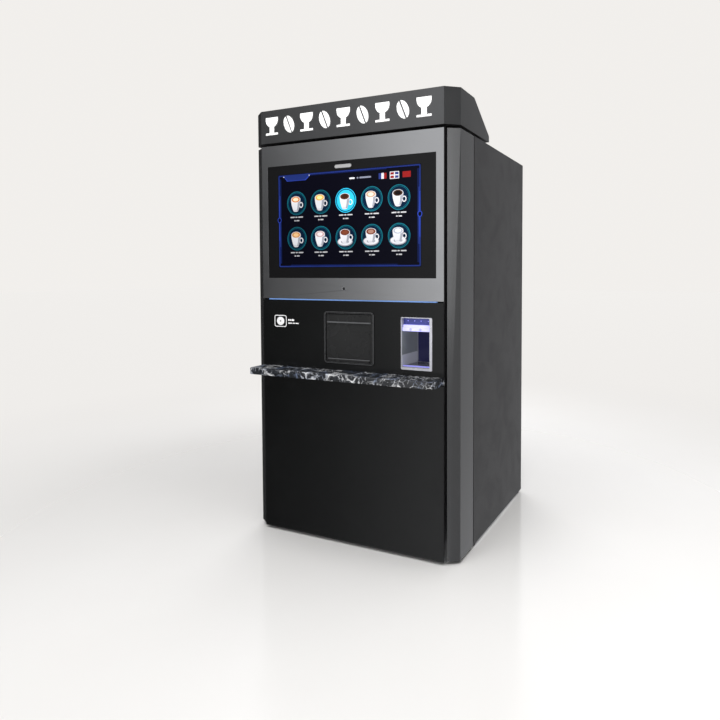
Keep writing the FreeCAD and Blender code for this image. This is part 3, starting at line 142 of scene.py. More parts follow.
# the surround is pale to the eye; what shines on the metal is bright to the front right, and dark
# to the left and below
world = bpy.data.worlds.new("studio")
bpy.context.scene.world = world
world.use_nodes = True
tree = world.node_tree
room = plugged(tree, tree.nodes["Background"], {"Color": ROOM_COLOUR})
aim = wired(tree, "TexCoord", {}).outputs["Generated"]
side = wired(tree, "VectorMath", {0: aim, 1: LEFTWARD}, operation="DOT_PRODUCT").outputs["Value"]
share = wired(tree, "Math", {0: side, 1: 0.5, 2: 0.5}, operation="MULTIPLY_ADD").outputs["Value"]
fall = ramp(tree, share, [(spot, (level, level, level * 1.02)) for spot, level in SHINE_STEPS])
shine = wired(tree, "Background", {"Color": fall})
seen = wired(tree, "LightPath", {}).outputs["Is Camera Ray"]
choose = wired(tree, "MixShader", {0: seen, 1: shine.outputs[0], 2: room.outputs[0]})
plugged(tree, tree.nodes["World Output"], {"Surface": choose.outputs[0]})

# the floor is lit near the machine and fades into the surround, so that no horizon shows
floor_mesh = bpy.data.meshes.new("floor")
corners = [(x * FLOOR_REACH, y * FLOOR_REACH, 0) for x, y in ((-1, -1), (1, -1), (1, 1), (-1, 1))]
floor_mesh.from_pydata(corners, [], [(0, 1, 2, 3)])
floor = bpy.data.objects.new("floor", floor_mesh)
bpy.context.collection.objects.link(floor)
floor.visible_glossy = False
polished, tree, shader = bare_material("polished_floor")
place = own_space(tree)
clouds = noise(tree, place, 0.8, 5.0).outputs["Fac"]
tint = ramp(tree, clouds, ((0.0, FLOOR_DEEP), (1.0, FLOOR_PALE)))
distance = wired(tree, "VectorMath", {0: place}, operation="LENGTH").outputs["Value"]
away = remap(tree, distance, FADE_START, FADE_END, interpolation_type="SMOOTHSTEP")
plugged(tree, shader, {
    "Base Color": mixed(tree, away, tint, DARK), "Specular IOR Level": 0.8,
    "Emission Color": mixed(tree, away, DARK, FAR_COLOUR), "Emission Strength": 1.0,
    "Roughness": remap(tree, away, to_low=0.13, to_high=1.0)})
floor.data.materials.append(polished)

hung_light("ceiling_panel", (0.6, -0.9, 3.7), (0.1, -0.1, 1.0), (4.6, 4.2), 165)
hung_light("right_panel", (2.4, -3.9, 1.9), (0.46, -0.39, 1.1), (1.6, 2.6), 15, mirrored=True)
hung_light("rear_panel", (-1.8, 3.4, 2.4), (0.0, 0.3, 1.0), (2.2, 2.2), 50)

# ---- folded cabinet -----------------------------------------------------------------------------
# Side panels, roof, back and door pan are folded from 2 mm steel sheet and powder coated in a fine
# black texture. Their folds get a narrow round and a little bare wear.

FOLD, WELD = 0.0009, 0.00001
GRAIN_DEPTH = 0.0003
SCREW_IN, SCREW_SIZE = 0.0018, 0.0042
NUMBER, VECTOR = "NodeSocketFloat", "NodeSocketVector"


def new_group(name, inputs, outputs):
    """An empty node group with its named inputs and outputs."""
    group = bpy.data.node_groups.new(name, "ShaderNodeTree")
    for title, kind, start in inputs:
        socket = group.interface.new_socket(title, in_out="INPUT", socket_type=kind)
        socket.default_value = start
    for title, kind in outputs:
        group.interface.new_socket(title, in_out="OUTPUT", socket_type=kind)
    return group, group.nodes.new("NodeGroupInput"), group.nodes.new("NodeGroupOutput")


# surface grain: a fine texture in the piece's own space, drawn out along an axis by Stretch, and
# a slow change of tone
grain_group, entry, leave = new_group(
    "surface_grain", [("Scale", NUMBER, 900.0), ("Stretch", VECTOR, (1.0, 1.0, 1.0))],
    [("Height", NUMBER), ("Tone", NUMBER)])
place = own_space(grain_group)
drawn = wired(grain_group, "VectorMath", {0: place, 1: entry.outputs["Stretch"]},
              operation="MULTIPLY")
fine = noise(grain_group, drawn.outputs["Vector"], entry.outputs["Scale"], 3.0)
slow = noise(grain_group, place, 2.3, 4.0)
plugged(grain_group, leave, {"Height": fine.outputs["Fac"], "Tone": slow.outputs["Fac"]})

# handling marks: smears of touch and dust, from 0 to 1
touch_group, entry, leave = new_group(
    "handling_marks", [("Scale", NUMBER, 7.0), ("Cover", NUMBER, 0.45)], [("Mask", NUMBER)])
smears = noise(touch_group, own_space(touch_group), entry.outputs["Scale"], 6.0, Distortion=1.2)
plugged(touch_group, leave, {
    "Mask": remap(touch_group, smears.outputs["Fac"], entry.outputs["Cover"], 0.78)})

# rubbed edges: 1 where the surface turns sharply outwards, broken up by noise
edge_group, entry, leave = new_group(
    "rubbed_edges", [("Reach", NUMBER, 0.56), ("Break", NUMBER, 60.0)], [("Mask", NUMBER)])
sharpness = wired(edge_group, "NewGeometry", {}).outputs["Pointiness"]
turn = remap(edge_group, sharpness, entry.outputs["Reach"], 0.74)
chips = noise(edge_group, own_space(edge_group), entry.outputs["Break"], 3.0).outputs["Fac"]
both = wired(edge_group, "Math", {0: turn, 1: chips}, operation="MULTIPLY")
plugged(edge_group, leave, {"Mask": both.outputs["Value"]})


def placed(tree, group, **values):
    """Put a node group into a material with its own values."""
    return wired(tree, "Group", values, node_tree=group)


def finish(name, colour, worn, rough, metal=0.0, grain=900.0, stretch=(1.0, 1.0, 1.0), bump=0.1,
           smear=0.12, cloudy=0.2, coat=0.0, sheen=0.5, glow=0.0, alpha=1.0):
    """A solid finish: grain, slow changes of tone, smears in the gloss and rubbed edges."""
    material, tree, shader = bare_material(name)
    texture = placed(tree, grain_group, Scale=grain, Stretch=stretch)
    smears = placed(tree, touch_group).outputs["Mask"]
    rubbed = placed(tree, edge_group).outputs["Mask"]
    tone = remap(tree, texture.outputs["Tone"], 0.3, 0.7, 1.0 - cloudy, 1.0 + cloudy)
    shade = mixed(tree, 1.0, colour, tone, blend_type="MULTIPLY")
    relief = wired(tree, "Bump", {"Strength": bump, "Distance": GRAIN_DEPTH,
                                  "Height": texture.outputs["Height"]})
    plugged(tree, shader, {
        "Base Color": mixed(tree, rubbed, shade, worn), "Metallic": metal,
        "Roughness": remap(tree, smears, to_low=rough, to_high=rough + smear),
        "Coat Weight": coat, "Coat Roughness": 0.05, "Specular IOR Level": sheen, "Alpha": alpha,
        "Normal": relief.outputs["Normal"]})
    if glow:
        plugged(tree, shader, {"Emission Color": shade, "Emission Strength": glow})
    return material


def soft_folds(item, width, segments=2):
    round_off = item.modifiers.new("soft_folds", "BEVEL")
    round_off.width = width
    round_off.segments = segments
    round_off.limit_method = "ANGLE"
    round_off.angle_limit = math.radians(32)
    round_off.harden_normals = True


def dress(nodes, material, fold=FOLD):
    """Give CAD nodes their finish and soften their folded or moulded edges."""
    for node in nodes:
        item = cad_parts[node]
        item.data.materials.clear()
        item.data.materials.append(material)
        if fold:
            item.modifiers.new("closed_seams", "WELD").merge_threshold = WELD
            soft_folds(item, fold)


def made(name, body, slot, fill, *materials, fold=0.0, smooth=35.0):
    """A new piece: fill builds its mesh, and it rides on a body."""
    shell = bmesh.new()
    fill(shell)
    bmesh.ops.recalc_face_normals(shell, faces=shell.faces)
    mesh = bpy.data.meshes.new(name)
    shell.to_mesh(mesh)
    shell.free()
    for material in materials:
        mesh.materials.append(material)
    item = bpy.data.objects.new(name, mesh)
    bpy.context.collection.objects.link(item)
    if smooth:
        mesh.shade_smooth()
        mesh.set_sharp_from_angle(angle=math.radians(smooth))
    if fold:
        soft_folds(item, fold)
    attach(item, body)
    return item


def slab(shell, low, high, slot=0):
    """Add a box between two corners."""
    low, high = Vector(low), Vector(high)
    where = Matrix.Translation((low + high) / 2) @ Matrix.Diagonal((*(high - low), 1.0))
    corners = bmesh.ops.create_cube(shell, size=1.0, matrix=where)["verts"]
    for face in {face for corner in corners for face in corner.link_faces}:
        face.material_index = slot


TOWARDS = {
    "+x": Matrix.Rotation(QUARTER_TURN, 4, "Y"), "-x": Matrix.Rotation(-QUARTER_TURN, 4, "Y"),
    "+y": Matrix.Rotation(-QUARTER_TURN, 4, "X"), "-y": Matrix.Rotation(QUARTER_TURN, 4, "X"),
    "+z": Matrix.Identity(4), "-z": Matrix.Rotation(HALF_TURN, 4, "X"),
}


def lathe(shell, place, profile, towards="+z", turns=24, slot=0):
    """Add a turned shape; profile is (radius, height) points along the direction."""
    base = Matrix.Translation(place) @ TOWARDS[towards]
    rings = []
    for radius, height in profile:
        angles = [math.tau * step / turns for step in range(turns if radius else 1)]
        spots = [(radius * math.cos(angle), radius * math.sin(angle), height) for angle in angles]
        rings.append([shell.verts.new(base @ Vector(spot)) for spot in spots])
    for lower, upper in zip(rings, rings[1:]):
        for step in range(turns):
            ahead = (step + 1) % turns
            if len(lower) == 1:
                corners = (lower[0], upper[ahead], upper[step])
            elif len(upper) == 1:
                corners = (lower[step], lower[ahead], upper[0])
            else:
                corners = (lower[step], lower[ahead], upper[ahead], upper[step])
            shell.faces.new(corners).material_index = slot


def screw_heads(shell, places, towards, radius=SCREW_SIZE):
    """Domed screws with a sunk socket."""
    dome = [(0, 0.0), (radius, 0.0), (radius, 0.0006), (radius * 0.82, 0.0016),
            (radius * 0.5, 0.0019), (radius * 0.44, 0.0006), (0, 0.0006)]
    for spot in places:
        lathe(shell, spot, dome, towards, 18)


powder_black = finish("black_powder_coat", (0.019, 0.019, 0.020), (0.075, 0.075, 0.078), 0.36,
    grain=1400.0, bump=0.35, smear=0.08, cloudy=0.12)
dress(("left_side_panel", "right_side_panel", "roof_panel", "back_panel", "door_pan"), powder_black)

black_screw = finish("blackened_screw", (0.05, 0.05, 0.052), (0.3, 0.3, 0.3), 0.3, metal=1.0,
    bump=0.05)
back_low, back_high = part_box("back_panel")
RIM, CORNER = 0.012, 0.03
back_rise = back_high.z - back_low.z - 2 * CORNER
rises = [back_low.z + CORNER + step * back_rise / 7 for step in range(8)]
shifts = [back_low.x + step * (back_high.x - back_low.x) / 6 for step in range(1, 6)]
back_spots = [(x, z) for x in (back_low.x + RIM, back_high.x - RIM) for z in rises]
back_spots += [(x, z) for x in shifts for z in (back_low.z + RIM, back_high.z - RIM)]
made("back_screws", "cabinet", "chrome", lambda shell: screw_heads(
    shell, [(x, back_high.y - SCREW_IN, z) for x, z in back_spots], "+y"), black_screw)

# ---- base ---------------------------------------------------------------------------------------
# The floor tray is bright zinc-plated sheet. Four rubber-soled levelling feet screw up through it.

zinc = finish("zinc_plate", (0.50, 0.51, 0.53), (0.72, 0.72, 0.73), 0.32, metal=1.0, grain=160.0,
    bump=0.12, cloudy=0.3)
foot_rubber = finish("foot_rubber", (0.022, 0.022, 0.022), (0.05, 0.05, 0.05), 0.62, grain=700.0,
    bump=0.3)
dress(("base_pan",), zinc)
dress(("levelling_feet",), foot_rubber, 0.0006)
NUT_RISE = 0.0072


def loose_parts(node):
    """The box of each separate solid in a CAD node, from its mesh islands."""
    shell = bmesh.new()
    shell.from_mesh(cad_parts[node].data)
    bmesh.ops.remove_doubles(shell, verts=shell.verts, dist=WELD)
    waiting, boxes = set(shell.verts), []
    while waiting:
        stack, island = [waiting.pop()], []
        while stack:
            corner = stack.pop()
            island.append(corner.co.copy())
            for side in corner.link_edges:
                other = side.other_vert(corner)
                if other in waiting:
                    waiting.remove(other)
                    stack.append(other)
        boxes.append((Vector(min(p[i] for p in island) for i in range(3)),
                      Vector(max(p[i] for p in island) for i in range(3))))
    shell.free()
    return sorted(boxes, key=lambda pair: tuple(round(number, 4) for number in pair[0]))


def foot_nuts(shell):
    """A thin hexagon nut that locks each foot."""
    for low, high in loose_parts("levelling_feet"):
        middle = (low + high) / 2
        lathe(shell, (middle.x, middle.y, low.z + NUT_RISE),
              [(0.0071, 0), (0.0105, 0), (0.0112, 0.0008), (0.0112, 0.0036), (0.0105, 0.0044),
               (0.0071, 0.0044), (0.0071, 0)], turns=6)


made("foot_lock_nuts", "cabinet", "zinc", foot_nuts, zinc, smooth=0)

# ---- header box ---------------------------------------------------------------------------------
# A folded hood in satin black, closed below by a loose floor sheet and carried on two pairs of
# pale plastic spacers. Its front carries raised white cups and beans, brightened by a painted glow.

satin_black = finish("satin_black_hood", (0.125, 0.127, 0.129), (0.24, 0.24, 0.24), 0.28, metal=0.9,
    grain=420.0, stretch=(0.12, 1.0, 1.0), bump=0.10, smear=0.06, cloudy=0.1)
pale_spacer = finish("pale_spacer_plastic", (0.78, 0.78, 0.76), (0.9, 0.9, 0.9), 0.45, grain=500.0)
# painted glow: the white sign is given a glow of its own, so it reads brighter than the lamps light
# it
white_sign = finish("white_sign_acrylic_painted_glow", (0.93, 0.93, 0.93), (0.97, 0.97, 0.97), 0.22, coat=0.4,
    grain=300.0, bump=0.02, cloudy=0.03, glow=0.35)
dress(("header_housing",), satin_black, 0.0012)
dress(("header_floor",), powder_black)
dress(("header_spacers",), pale_spacer, 0.0006)
dress(("header_sign",), white_sign, 0.0006)

hood_low, hood_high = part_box("header_housing")


def hood_screws(shell):
    """Three low screws in each end of the hood, sunk flush into its sheet."""
    for y in (-0.30, -0.185, -0.07):
        screw_heads(shell, [(hood_high.x - SCREW_IN, y, hood_low.z + 0.014)], "+x")
        screw_heads(shell, [(hood_low.x + SCREW_IN, y, hood_low.z + 0.014)], "-x")


made("hood_screws", "cabinet", "chrome", hood_screws, black_screw)

# ---- door shell ---------------------------------------------------------------------------------
# A folded pan closed at both edges by slanted graphite channels, with a hollow rubber seal stuck
# round its back and a row of screws beside it.

graphite = finish("graphite_channel", (0.24, 0.242, 0.245), (0.34, 0.34, 0.35), 0.24, metal=0.95,
    grain=500.0, stretch=(1.0, 1.0, 0.03), bump=0.04, smear=0.03, cloudy=0.03)
dress(("column_left", "column_right"), graphite, 0.0010)
seal_rubber = finish("seal_rubber", (0.018, 0.018, 0.018), (0.04, 0.04, 0.04), 0.7, grain=600.0,
    bump=0.25)


def rounded_loop(low_x, low_z, high_x, high_z, radius, steps=6, inset=0.0):
    """Corner-rounded rectangle as (x, z) points, starting at the lower left."""
    low_x, low_z, high_x, high_z = low_x + inset, low_z + inset, high_x - inset, high_z - inset
    centres = [(low_x + radius, low_z + radius, 180), (high_x - radius, low_z + radius, 270),
               (high_x - radius, high_z - radius, 0), (low_x + radius, high_z - radius, 90)]
    points = []
    for x, z, first in centres:
        for step in range(steps + 1):
            angle = math.radians(first + 90 * step / steps)
            points.append((x + radius * math.cos(angle), z + radius * math.sin(angle)))
    return points


def pad_loop(x, z, half_x, half_z, radius, steps=6):
    """Corner-rounded rectangle about its middle."""
    return rounded_loop(x - half_x, z - half_z, x + half_x, z + half_z, radius, steps)


def oval_loop(x, z, wide, high, steps=48):
    angles = [math.tau * step / steps for step in range(steps)]
    return [(x + wide * math.cos(angle), z + high * math.sin(angle)) for angle in angles]


def plate(shell, loop, face, thick, slot=0):
    """Add a closed plate with an (x, z) outline; its face looks forward at y = face."""
    front = [shell.verts.new((x, face, z)) for x, z in loop]
    rear = [shell.verts.new((x, face + thick, z)) for x, z in loop]
    faces = [shell.faces.new(front), shell.faces.new(rear[::-1])]
    for step in range(len(loop)):
        ahead = (step + 1) % len(loop)
        faces.append(shell.faces.new((front[step], rear[step], rear[ahead], front[ahead])))
    for item in faces:
        item.material_index = slot


def ring_plate(shell, outer, inner, face, thick, slot=0):
    """Add a closed plate with a hole; outer and inner have as many points."""
    back = face + thick
    loops = [[shell.verts.new((x, y, z)) for x, z in loop]
             for loop, y in ((outer, face), (inner, face), (inner, back), (outer, back))]
    for first, second in zip(loops, loops[1:] + loops[:1]):
        for step in range(len(outer)):
            ahead = (step + 1) % len(outer)
            corners = (first[step], first[ahead], second[ahead], second[step])
            shell.faces.new(corners).material_index = slot


def border(shell, edges, inset, width, radii, face, thick, slot=0, steps=6):
    """A raised line between two corner-rounded rectangles inside edges."""
    outer, inner = (rounded_loop(*edges, radius, steps, inset + wide)
                    for wide, radius in zip((0.0, width), radii))
    ring_plate(shell, outer, inner, face, thick, slot)


pan_low, pan_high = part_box("door_pan")
SEAL_INSET, SEAL_WIDTH, SEAL_THICK, SEAL_ROUND = 0.030, 0.011, 0.0045, 0.02


def door_seal(shell):
    """Two beads side by side, the inner one thinner."""
    edges = (pan_low.x, pan_low.z, pan_high.x, pan_high.z)
    for shift, width, thick in ((0.0, SEAL_WIDTH, SEAL_THICK), (SEAL_WIDTH, 0.006, 0.002)):
        border(shell, edges, SEAL_INSET + shift, width, (SEAL_ROUND - shift,) * 2,
               pan_high.y + 0.0002, thick)


made("door_seal", "door", "rubber_black", door_seal, seal_rubber, fold=0.0012)

edge = SEAL_INSET + 2.6 * SEAL_WIDTH
rises = [pan_low.z + edge + step * (pan_high.z - pan_low.z - 2 * edge) / 9 for step in range(10)]
shifts = [pan_low.x + edge + step * (pan_high.x - pan_low.x - 2 * edge) / 5 for step in range(1, 5)]
pan_spots = [(x, pan_high.y, z) for x in (pan_low.x + edge, pan_high.x - edge) for z in rises]
pan_spots += [(x, pan_high.y, z) for x in shifts for z in (rises[0], rises[-1])]
made("door_pan_screws", "door", "chrome", lambda shell: screw_heads(shell, pan_spots, "+y"),
     black_screw)

# ---- steel bezel and lock -----------------------------------------------------------------------
# One sheet of brushed stainless, cut out for the glass. The key cylinder stands a little proud of
# it in a turned ring.

brushed = finish("brushed_steel_bezel", (0.40, 0.405, 0.41), (0.62, 0.62, 0.63), 0.19, metal=1.0,
    grain=340.0, stretch=(0.02, 1.0, 1.0), bump=0.09, smear=0.03, cloudy=0.05)
chrome = finish("bright_chrome", (0.72, 0.72, 0.73), (0.85, 0.85, 0.85), 0.14, metal=1.0,
    grain=260.0, bump=0.03, cloudy=0.06)
dress(("steel_bezel",), brushed, 0.0007)
dark_key = finish("dark_key_face", (0.10, 0.10, 0.105), (0.4, 0.4, 0.4), 0.25, metal=1.0,
    grain=260.0)
dress(("lock_cylinder",), dark_key, 0.0004)
bezel_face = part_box("steel_bezel")[0].y
LOCK_X, LOCK_Z = -0.016, 1.109


def lock_ring(shell):
    """The turned ring round the key."""
    lathe(shell, (LOCK_X, bezel_face, LOCK_Z),
          [(0.0064, 0), (0.0074, 0), (0.0074, 0.0004), (0.0071, 0.0008), (0.0067, 0.0008),
           (0.0064, 0.0006), (0.0064, 0)], "-y", 40)


made("lock_ring", "door", "chrome", lock_ring, chrome)

# ---- touch glass --------------------------------------------------------------------------------
# Toughened glass printed black on its back, with a bright bezel line, a metal-rimmed sensor pill
# near its top edge and the lit picture of the menu.

glass = finish("black_touch_glass", (0.0075, 0.0075, 0.008), (0.03, 0.03, 0.03), 0.10, grain=200.0,
    bump=0.01, smear=0.08, cloudy=0.2, sheen=0.14)
screen_case = finish("screen_case", (0.09, 0.09, 0.095), (0.3, 0.3, 0.3), 0.4, metal=0.8,
    grain=500.0)
dress(("display_glass",), glass, 0.0006)
dress(("display_module",), screen_case, 0.0012)
glass_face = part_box("display_glass")[0].y
eye_low, eye_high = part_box("sensor_window")
PILL_TRIMS = ((0.0, 0.0012), (0.0015, 0.0027))


def sensor_rim(shell):
    """A pill-shaped metal rim round the sensor with a frosted window in it."""
    half = (eye_high.z - eye_low.z) / 2
    outer, inner = (rounded_loop(eye_low.x + wide, eye_low.z + trim, eye_high.x - wide,
                                 eye_high.z - trim, half - trim, 10) for wide, trim in PILL_TRIMS)
    ring_plate(shell, outer, inner, glass_face - 0.0006, 0.0005)
    plate(shell, inner, glass_face - 0.0004, 0.0003, 1)


frosted = finish("frosted_sensor_window", (0.62, 0.62, 0.62), (0.7, 0.7, 0.7), 0.34, metal=0.7,
    stretch=(0.1, 1.0, 1.0))
pill = made("sensor_pill", "door", "chrome", sensor_rim, chrome, frosted)
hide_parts("sensor_window")


def lit(name, colour, strength, cloudy=0.12):
    """Part of the lit picture: glows evenly behind glossy glass."""
    return finish(f"picture_{name}", colour, colour, 0.12, grain=2400.0, bump=0.0, smear=0.08,
                  cloudy=cloudy, sheen=0.06, glow=strength)


PICTURE_X, PICTURE_Z, PICTURE_HALF, PICTURE_HIGH = -0.0035, 1.405, 0.348, 0.199
PICTURE_FACE = glass_face - 0.0001
LAYER = 0.00006
night = lit("black", (0.002, 0.002, 0.006), 0.2)
royal = lit("royal_blue", (0.016, 0.035, 0.26), 0.6, 0.5)
dim_blue = lit("dim_blue", (0.010, 0.020, 0.11), 0.5, 0.5)
faint_blue = lit("faint_blue", (0.004, 0.008, 0.045), 0.5, 0.5)
teal = lit("teal", (0.005, 0.10, 0.14), 0.5, 0.7)
deep = lit("deep_blue", (0.0015, 0.009, 0.026), 0.5, 0.5)
label = lit("label_grey", (0.40, 0.40, 0.42), 0.40, 0.5)
cyan = lit("cyan", (0.02, 0.36, 0.56), 0.7, 0.3)
white = lit("white", (0.56, 0.56, 0.59), 0.42, 0.3)
shade = lit("cup_shade", (0.26, 0.27, 0.31), 0.45, 0.3)


def layer(shell, loop, depth, slot):
    """One flat tint of the picture, depth tints up from the glass."""
    plate(shell, loop, PICTURE_FACE - depth * LAYER, LAYER * 0.8, slot)


def oval_ring(shell, x, z, outer, inner, depth, slot, steps=48):
    """One flat ring of the picture between two ovals of (half width, half height)."""
    ring_plate(shell, oval_loop(x, z, *outer, steps), oval_loop(x, z, *inner, steps),
               PICTURE_FACE - depth * LAYER, LAYER, slot)


def picture_ground(shell):
    """Black ground with a blue frame that opens into a blank tab at the upper left."""
    left, right = PICTURE_X - PICTURE_HALF, PICTURE_X + PICTURE_HALF
    low, high = PICTURE_Z - PICTURE_HIGH, PICTURE_Z + PICTURE_HIGH
    edges = (left, low, right, high)
    layer(shell, rounded_loop(*edges, 0.003, inset=-0.006), 0, 0)
    for grow, thick, slot in ((0.004, 0.0045, 2), (0.001, 0.0022, 1)):
        border(shell, edges, -grow, thick, (0.006, 0.004), PICTURE_FACE - (2 + slot) * LAYER, LAYER,
               slot)
    for x, side in ((left, 1), (right, -1)):
        for wide, depth, slot, ends in ((0.011, 1, 4, 0.012), (0.007, 2, 2, 0.085)):
            near, far = sorted((x, x + side * wide))
            layer(shell, rounded_loop(near, low + ends, far, high - ends, 0.003), depth, slot)
    layer(shell, rounded_loop(left + 0.06, low, right - 0.10, low + 0.007, 0.003), 1, 4)
    layer(shell, rounded_loop(left + 0.17, high - 0.006, right - 0.15, high, 0.002), 1, 4)
    tab_left, tab_right, tab_drop, tab_slant = left + 0.022, left + 0.172, 0.024, 0.022
    tab = [(tab_left, high), (tab_left + tab_slant, high - tab_drop),
           (tab_right - tab_slant * 1.3, high - tab_drop), (tab_right, high)]
    layer(shell, tab, 5, 1)
    inner_tab = [(x + (0.003 if x < PICTURE_X - 0.26 else -0.004), z + (0.002 if z < high else 0.0))
                 for x, z in tab]
    layer(shell, inner_tab, 6, 2)
    for x in (tab_left + 0.004, tab_right - 0.010):
        layer(shell, oval_loop(x, high - 0.004, 0.0022, 0.0022, 16), 7, 3)
    knob, core = (0.0105, 0.0125), (0.0072, 0.0090)
    for x in (left, right):
        oval_ring(shell, x, PICTURE_Z + 0.006, knob, core, 6, 1, 32)
        layer(shell, oval_loop(x, PICTURE_Z + 0.006, *core, 32), 5, 0)
        for z in (PICTURE_Z - 0.046, PICTURE_Z + 0.058):
            layer(shell, pad_loop(x, z, 0.0020, 0.039, 0.0018, 3), 5, 1)


made("menu_ground", "door", "screen", picture_ground, night, royal, dim_blue, white, faint_blue,
    smooth=0)

# plain banded flags with the chosen one edged white, and a clock line
crimson = lit("crimson", (0.20, 0.010, 0.010), 0.6, 0.4)
flag_blue = lit("flag_blue", (0.018, 0.030, 0.15), 0.6, 0.4)
grey_line = lit("grey_line", (0.16, 0.17, 0.22), 0.6, 0.5)
FLAG_HALF_X, FLAG_HALF_Z, FLAG_Z = 0.0185, 0.0118, PICTURE_Z + 0.167
FLAGS = ((0.1755, (3, 2, 4), False), (0.2305, (4, 3), True), (0.2860, (4,), False))


def menu_flags(shell):
    for x, bands, picked in FLAGS:
        if picked:
            layer(shell, pad_loop(x, FLAG_Z, FLAG_HALF_X + 0.003, FLAG_HALF_Z + 0.003, 0.001, 2),
                  4, 2)
        step = 2 * FLAG_HALF_X / len(bands)
        for number, slot in enumerate(bands):
            left = x - FLAG_HALF_X + number * step
            layer(shell, rounded_loop(left, FLAG_Z - FLAG_HALF_Z, left + step, FLAG_Z + FLAG_HALF_Z,
                                      0.0008, 2), 6, slot)
        if picked:
            layer(shell, pad_loop(x, FLAG_Z, FLAG_HALF_X, 0.0022, 0.0005, 2), 8, 2)
            layer(shell, pad_loop(x, FLAG_Z, 0.0025, FLAG_HALF_Z, 0.0005, 2), 9, 2)
    for left, right, slot in ((0.0150, 0.0420, 2), (0.0520, 0.0600, 5), (0.0650, 0.1210, 5)):
        layer(shell, rounded_loop(left, PICTURE_Z + 0.164, right, PICTURE_Z + 0.171, 0.003, 4),
              6, slot)


made("menu_flags", "door", "screen", menu_flags, night, royal, white, flag_blue, crimson, grey_line,
    smooth=0)

DRINKS = [  # name, rim colour of the drink, centre colour, cup height share, has a saucer, chosen
    ("cappuccino", (0.52, 0.17, 0.035), (0.72, 0.58, 0.40), 1.00, False, False),
    ("latte", (0.66, 0.36, 0.05), (0.80, 0.66, 0.28), 1.14, False, False),
    ("long_black", (0.07, 0.022, 0.011), (0.035, 0.012, 0.007), 1.00, False, True),
    ("flat_white", (0.42, 0.27, 0.17), (0.62, 0.50, 0.42), 1.14, False, False),
    ("black_coffee", (0.045, 0.020, 0.011), (0.006, 0.004, 0.004), 1.06, False, False),
    ("macchiato", (0.46, 0.20, 0.06), (0.66, 0.42, 0.20), 1.00, False, False),
    ("mocha", (0.40, 0.27, 0.27), (0.60, 0.52, 0.53), 1.00, False, False),
    ("chocolate", (0.12, 0.030, 0.015), (0.16, 0.042, 0.020), 1.00, True, False),
    ("milk_chocolate", (0.14, 0.035, 0.02), (0.30, 0.16, 0.12), 1.00, True, False),
    ("hot_milk", (0.34, 0.36, 0.42), (0.62, 0.63, 0.68), 1.00, True, False),
]


CUP_PITCH, CUP_RISE, CUP_ROW = 0.127, 0.155, 1.327
DISC, DISC_RIM, DISC_FILL = 0.0515, 0.0034, 0.0440
LEAN, MOUTH, BASE, SAUCER_LIFT = 0.0045, 0.0250, 0.0125, 0.010
LINE_HALF = 0.0026
NAME_LINE, PRICE_LINE = (0.061, 0.034), (0.076, 0.014)
WORDS = {NAME_LINE: ((-1.0, -0.32), (-0.22, 0.10), (0.22, 1.0)),
         PRICE_LINE: ((-1.0, -0.4), (-0.2, 1.0))}


def drink_picture(x, z, tall, saucer, chosen):
    """A cup in a ring: body, handle, rim, drink and its lighter middle, with two lines below it."""
    def fill(shell):
        oval_ring(shell, x, z, (DISC,) * 2, (DISC - DISC_RIM,) * 2, 3, 2 if chosen else 0)
        oval_ring(shell, x, z, (DISC - 0.006,) * 2, (DISC_FILL,) * 2, 3, 0)
        layer(shell, oval_loop(x, z, DISC_FILL, DISC_FILL), 2, 2 if chosen else 1)
        lean = x - LEAN
        top = z + 0.0165 * tall + (0.004 if saucer else 0)
        low = z - 0.033 + (SAUCER_LIFT if saucer else 0)
        if saucer:
            for rise, wide, high, depth, slot in ((0.004, 0.038, 0.0185, 4, 4),
                                                  (0.005, 0.034, 0.0155, 5, 3),
                                                  (0.004, 0.020, 0.0085, 6, 4)):
                layer(shell, oval_loop(lean, low + rise, wide, high), depth, slot)
        oval_ring(shell, lean + MOUTH + 0.0035, (top + low) / 2, (0.0105, 0.0125), (0.0062, 0.0082),
                  7, 3, 32)
        steps = 14
        sides = [(MOUTH - (MOUTH - BASE) * (step / steps) ** 2.0, top - (top - low) * step / steps)
                 for step in range(steps + 1)]
        layer(shell, oval_loop(lean, low, BASE, 0.0042, 24), 8, 3)
        layer(shell, [(lean - wide, height) for wide, height in sides]
              + [(lean + wide, height) for wide, height in reversed(sides)], 8, 3)
        shaded = [(wide, height) for wide, height in sides if height < top - 0.004]
        layer(shell, [(lean + wide * 0.45, height) for wide, height in shaded]
              + [(lean + wide * 0.98, height) for wide, height in reversed(shaded)], 9, 4)
        for size, depth, slot in ((1.0, 10, 3), (0.88, 11, 5), (0.56, 12, 6)):
            layer(shell, oval_loop(lean, top, MOUTH * size, 0.0140 * size, 32), depth, slot)
        for (drop, half), words in WORDS.items():
            for start, end in words:
                layer(shell, rounded_loop(x + start * half, z - drop - LINE_HALF, x + end * half,
                                          z - drop + LINE_HALF, 0.0024, 3), 3, 7)
    return fill


for number, (drink, rim_colour, middle_colour, tall, saucer, chosen) in enumerate(DRINKS):
    x = PICTURE_X + (number % 5 - 2) * CUP_PITCH
    z = CUP_ROW + (CUP_RISE if number < 5 else 0.0)
    made(f"menu_{drink}", "door", "screen", drink_picture(x, z, tall, saucer, chosen), teal, deep,
         cyan, white, shade, lit(f"{drink}_rim", rim_colour, 0.42, 0.3),
         lit(f"{drink}_middle", middle_colour, 0.42, 0.4), label, smooth=0)

# ---- light strip and black front panels ---------------------------------------------------------
# A frosted acrylic bar glows pale blue under the steel. The panels below are black painted
# acrylic with a deep gloss.

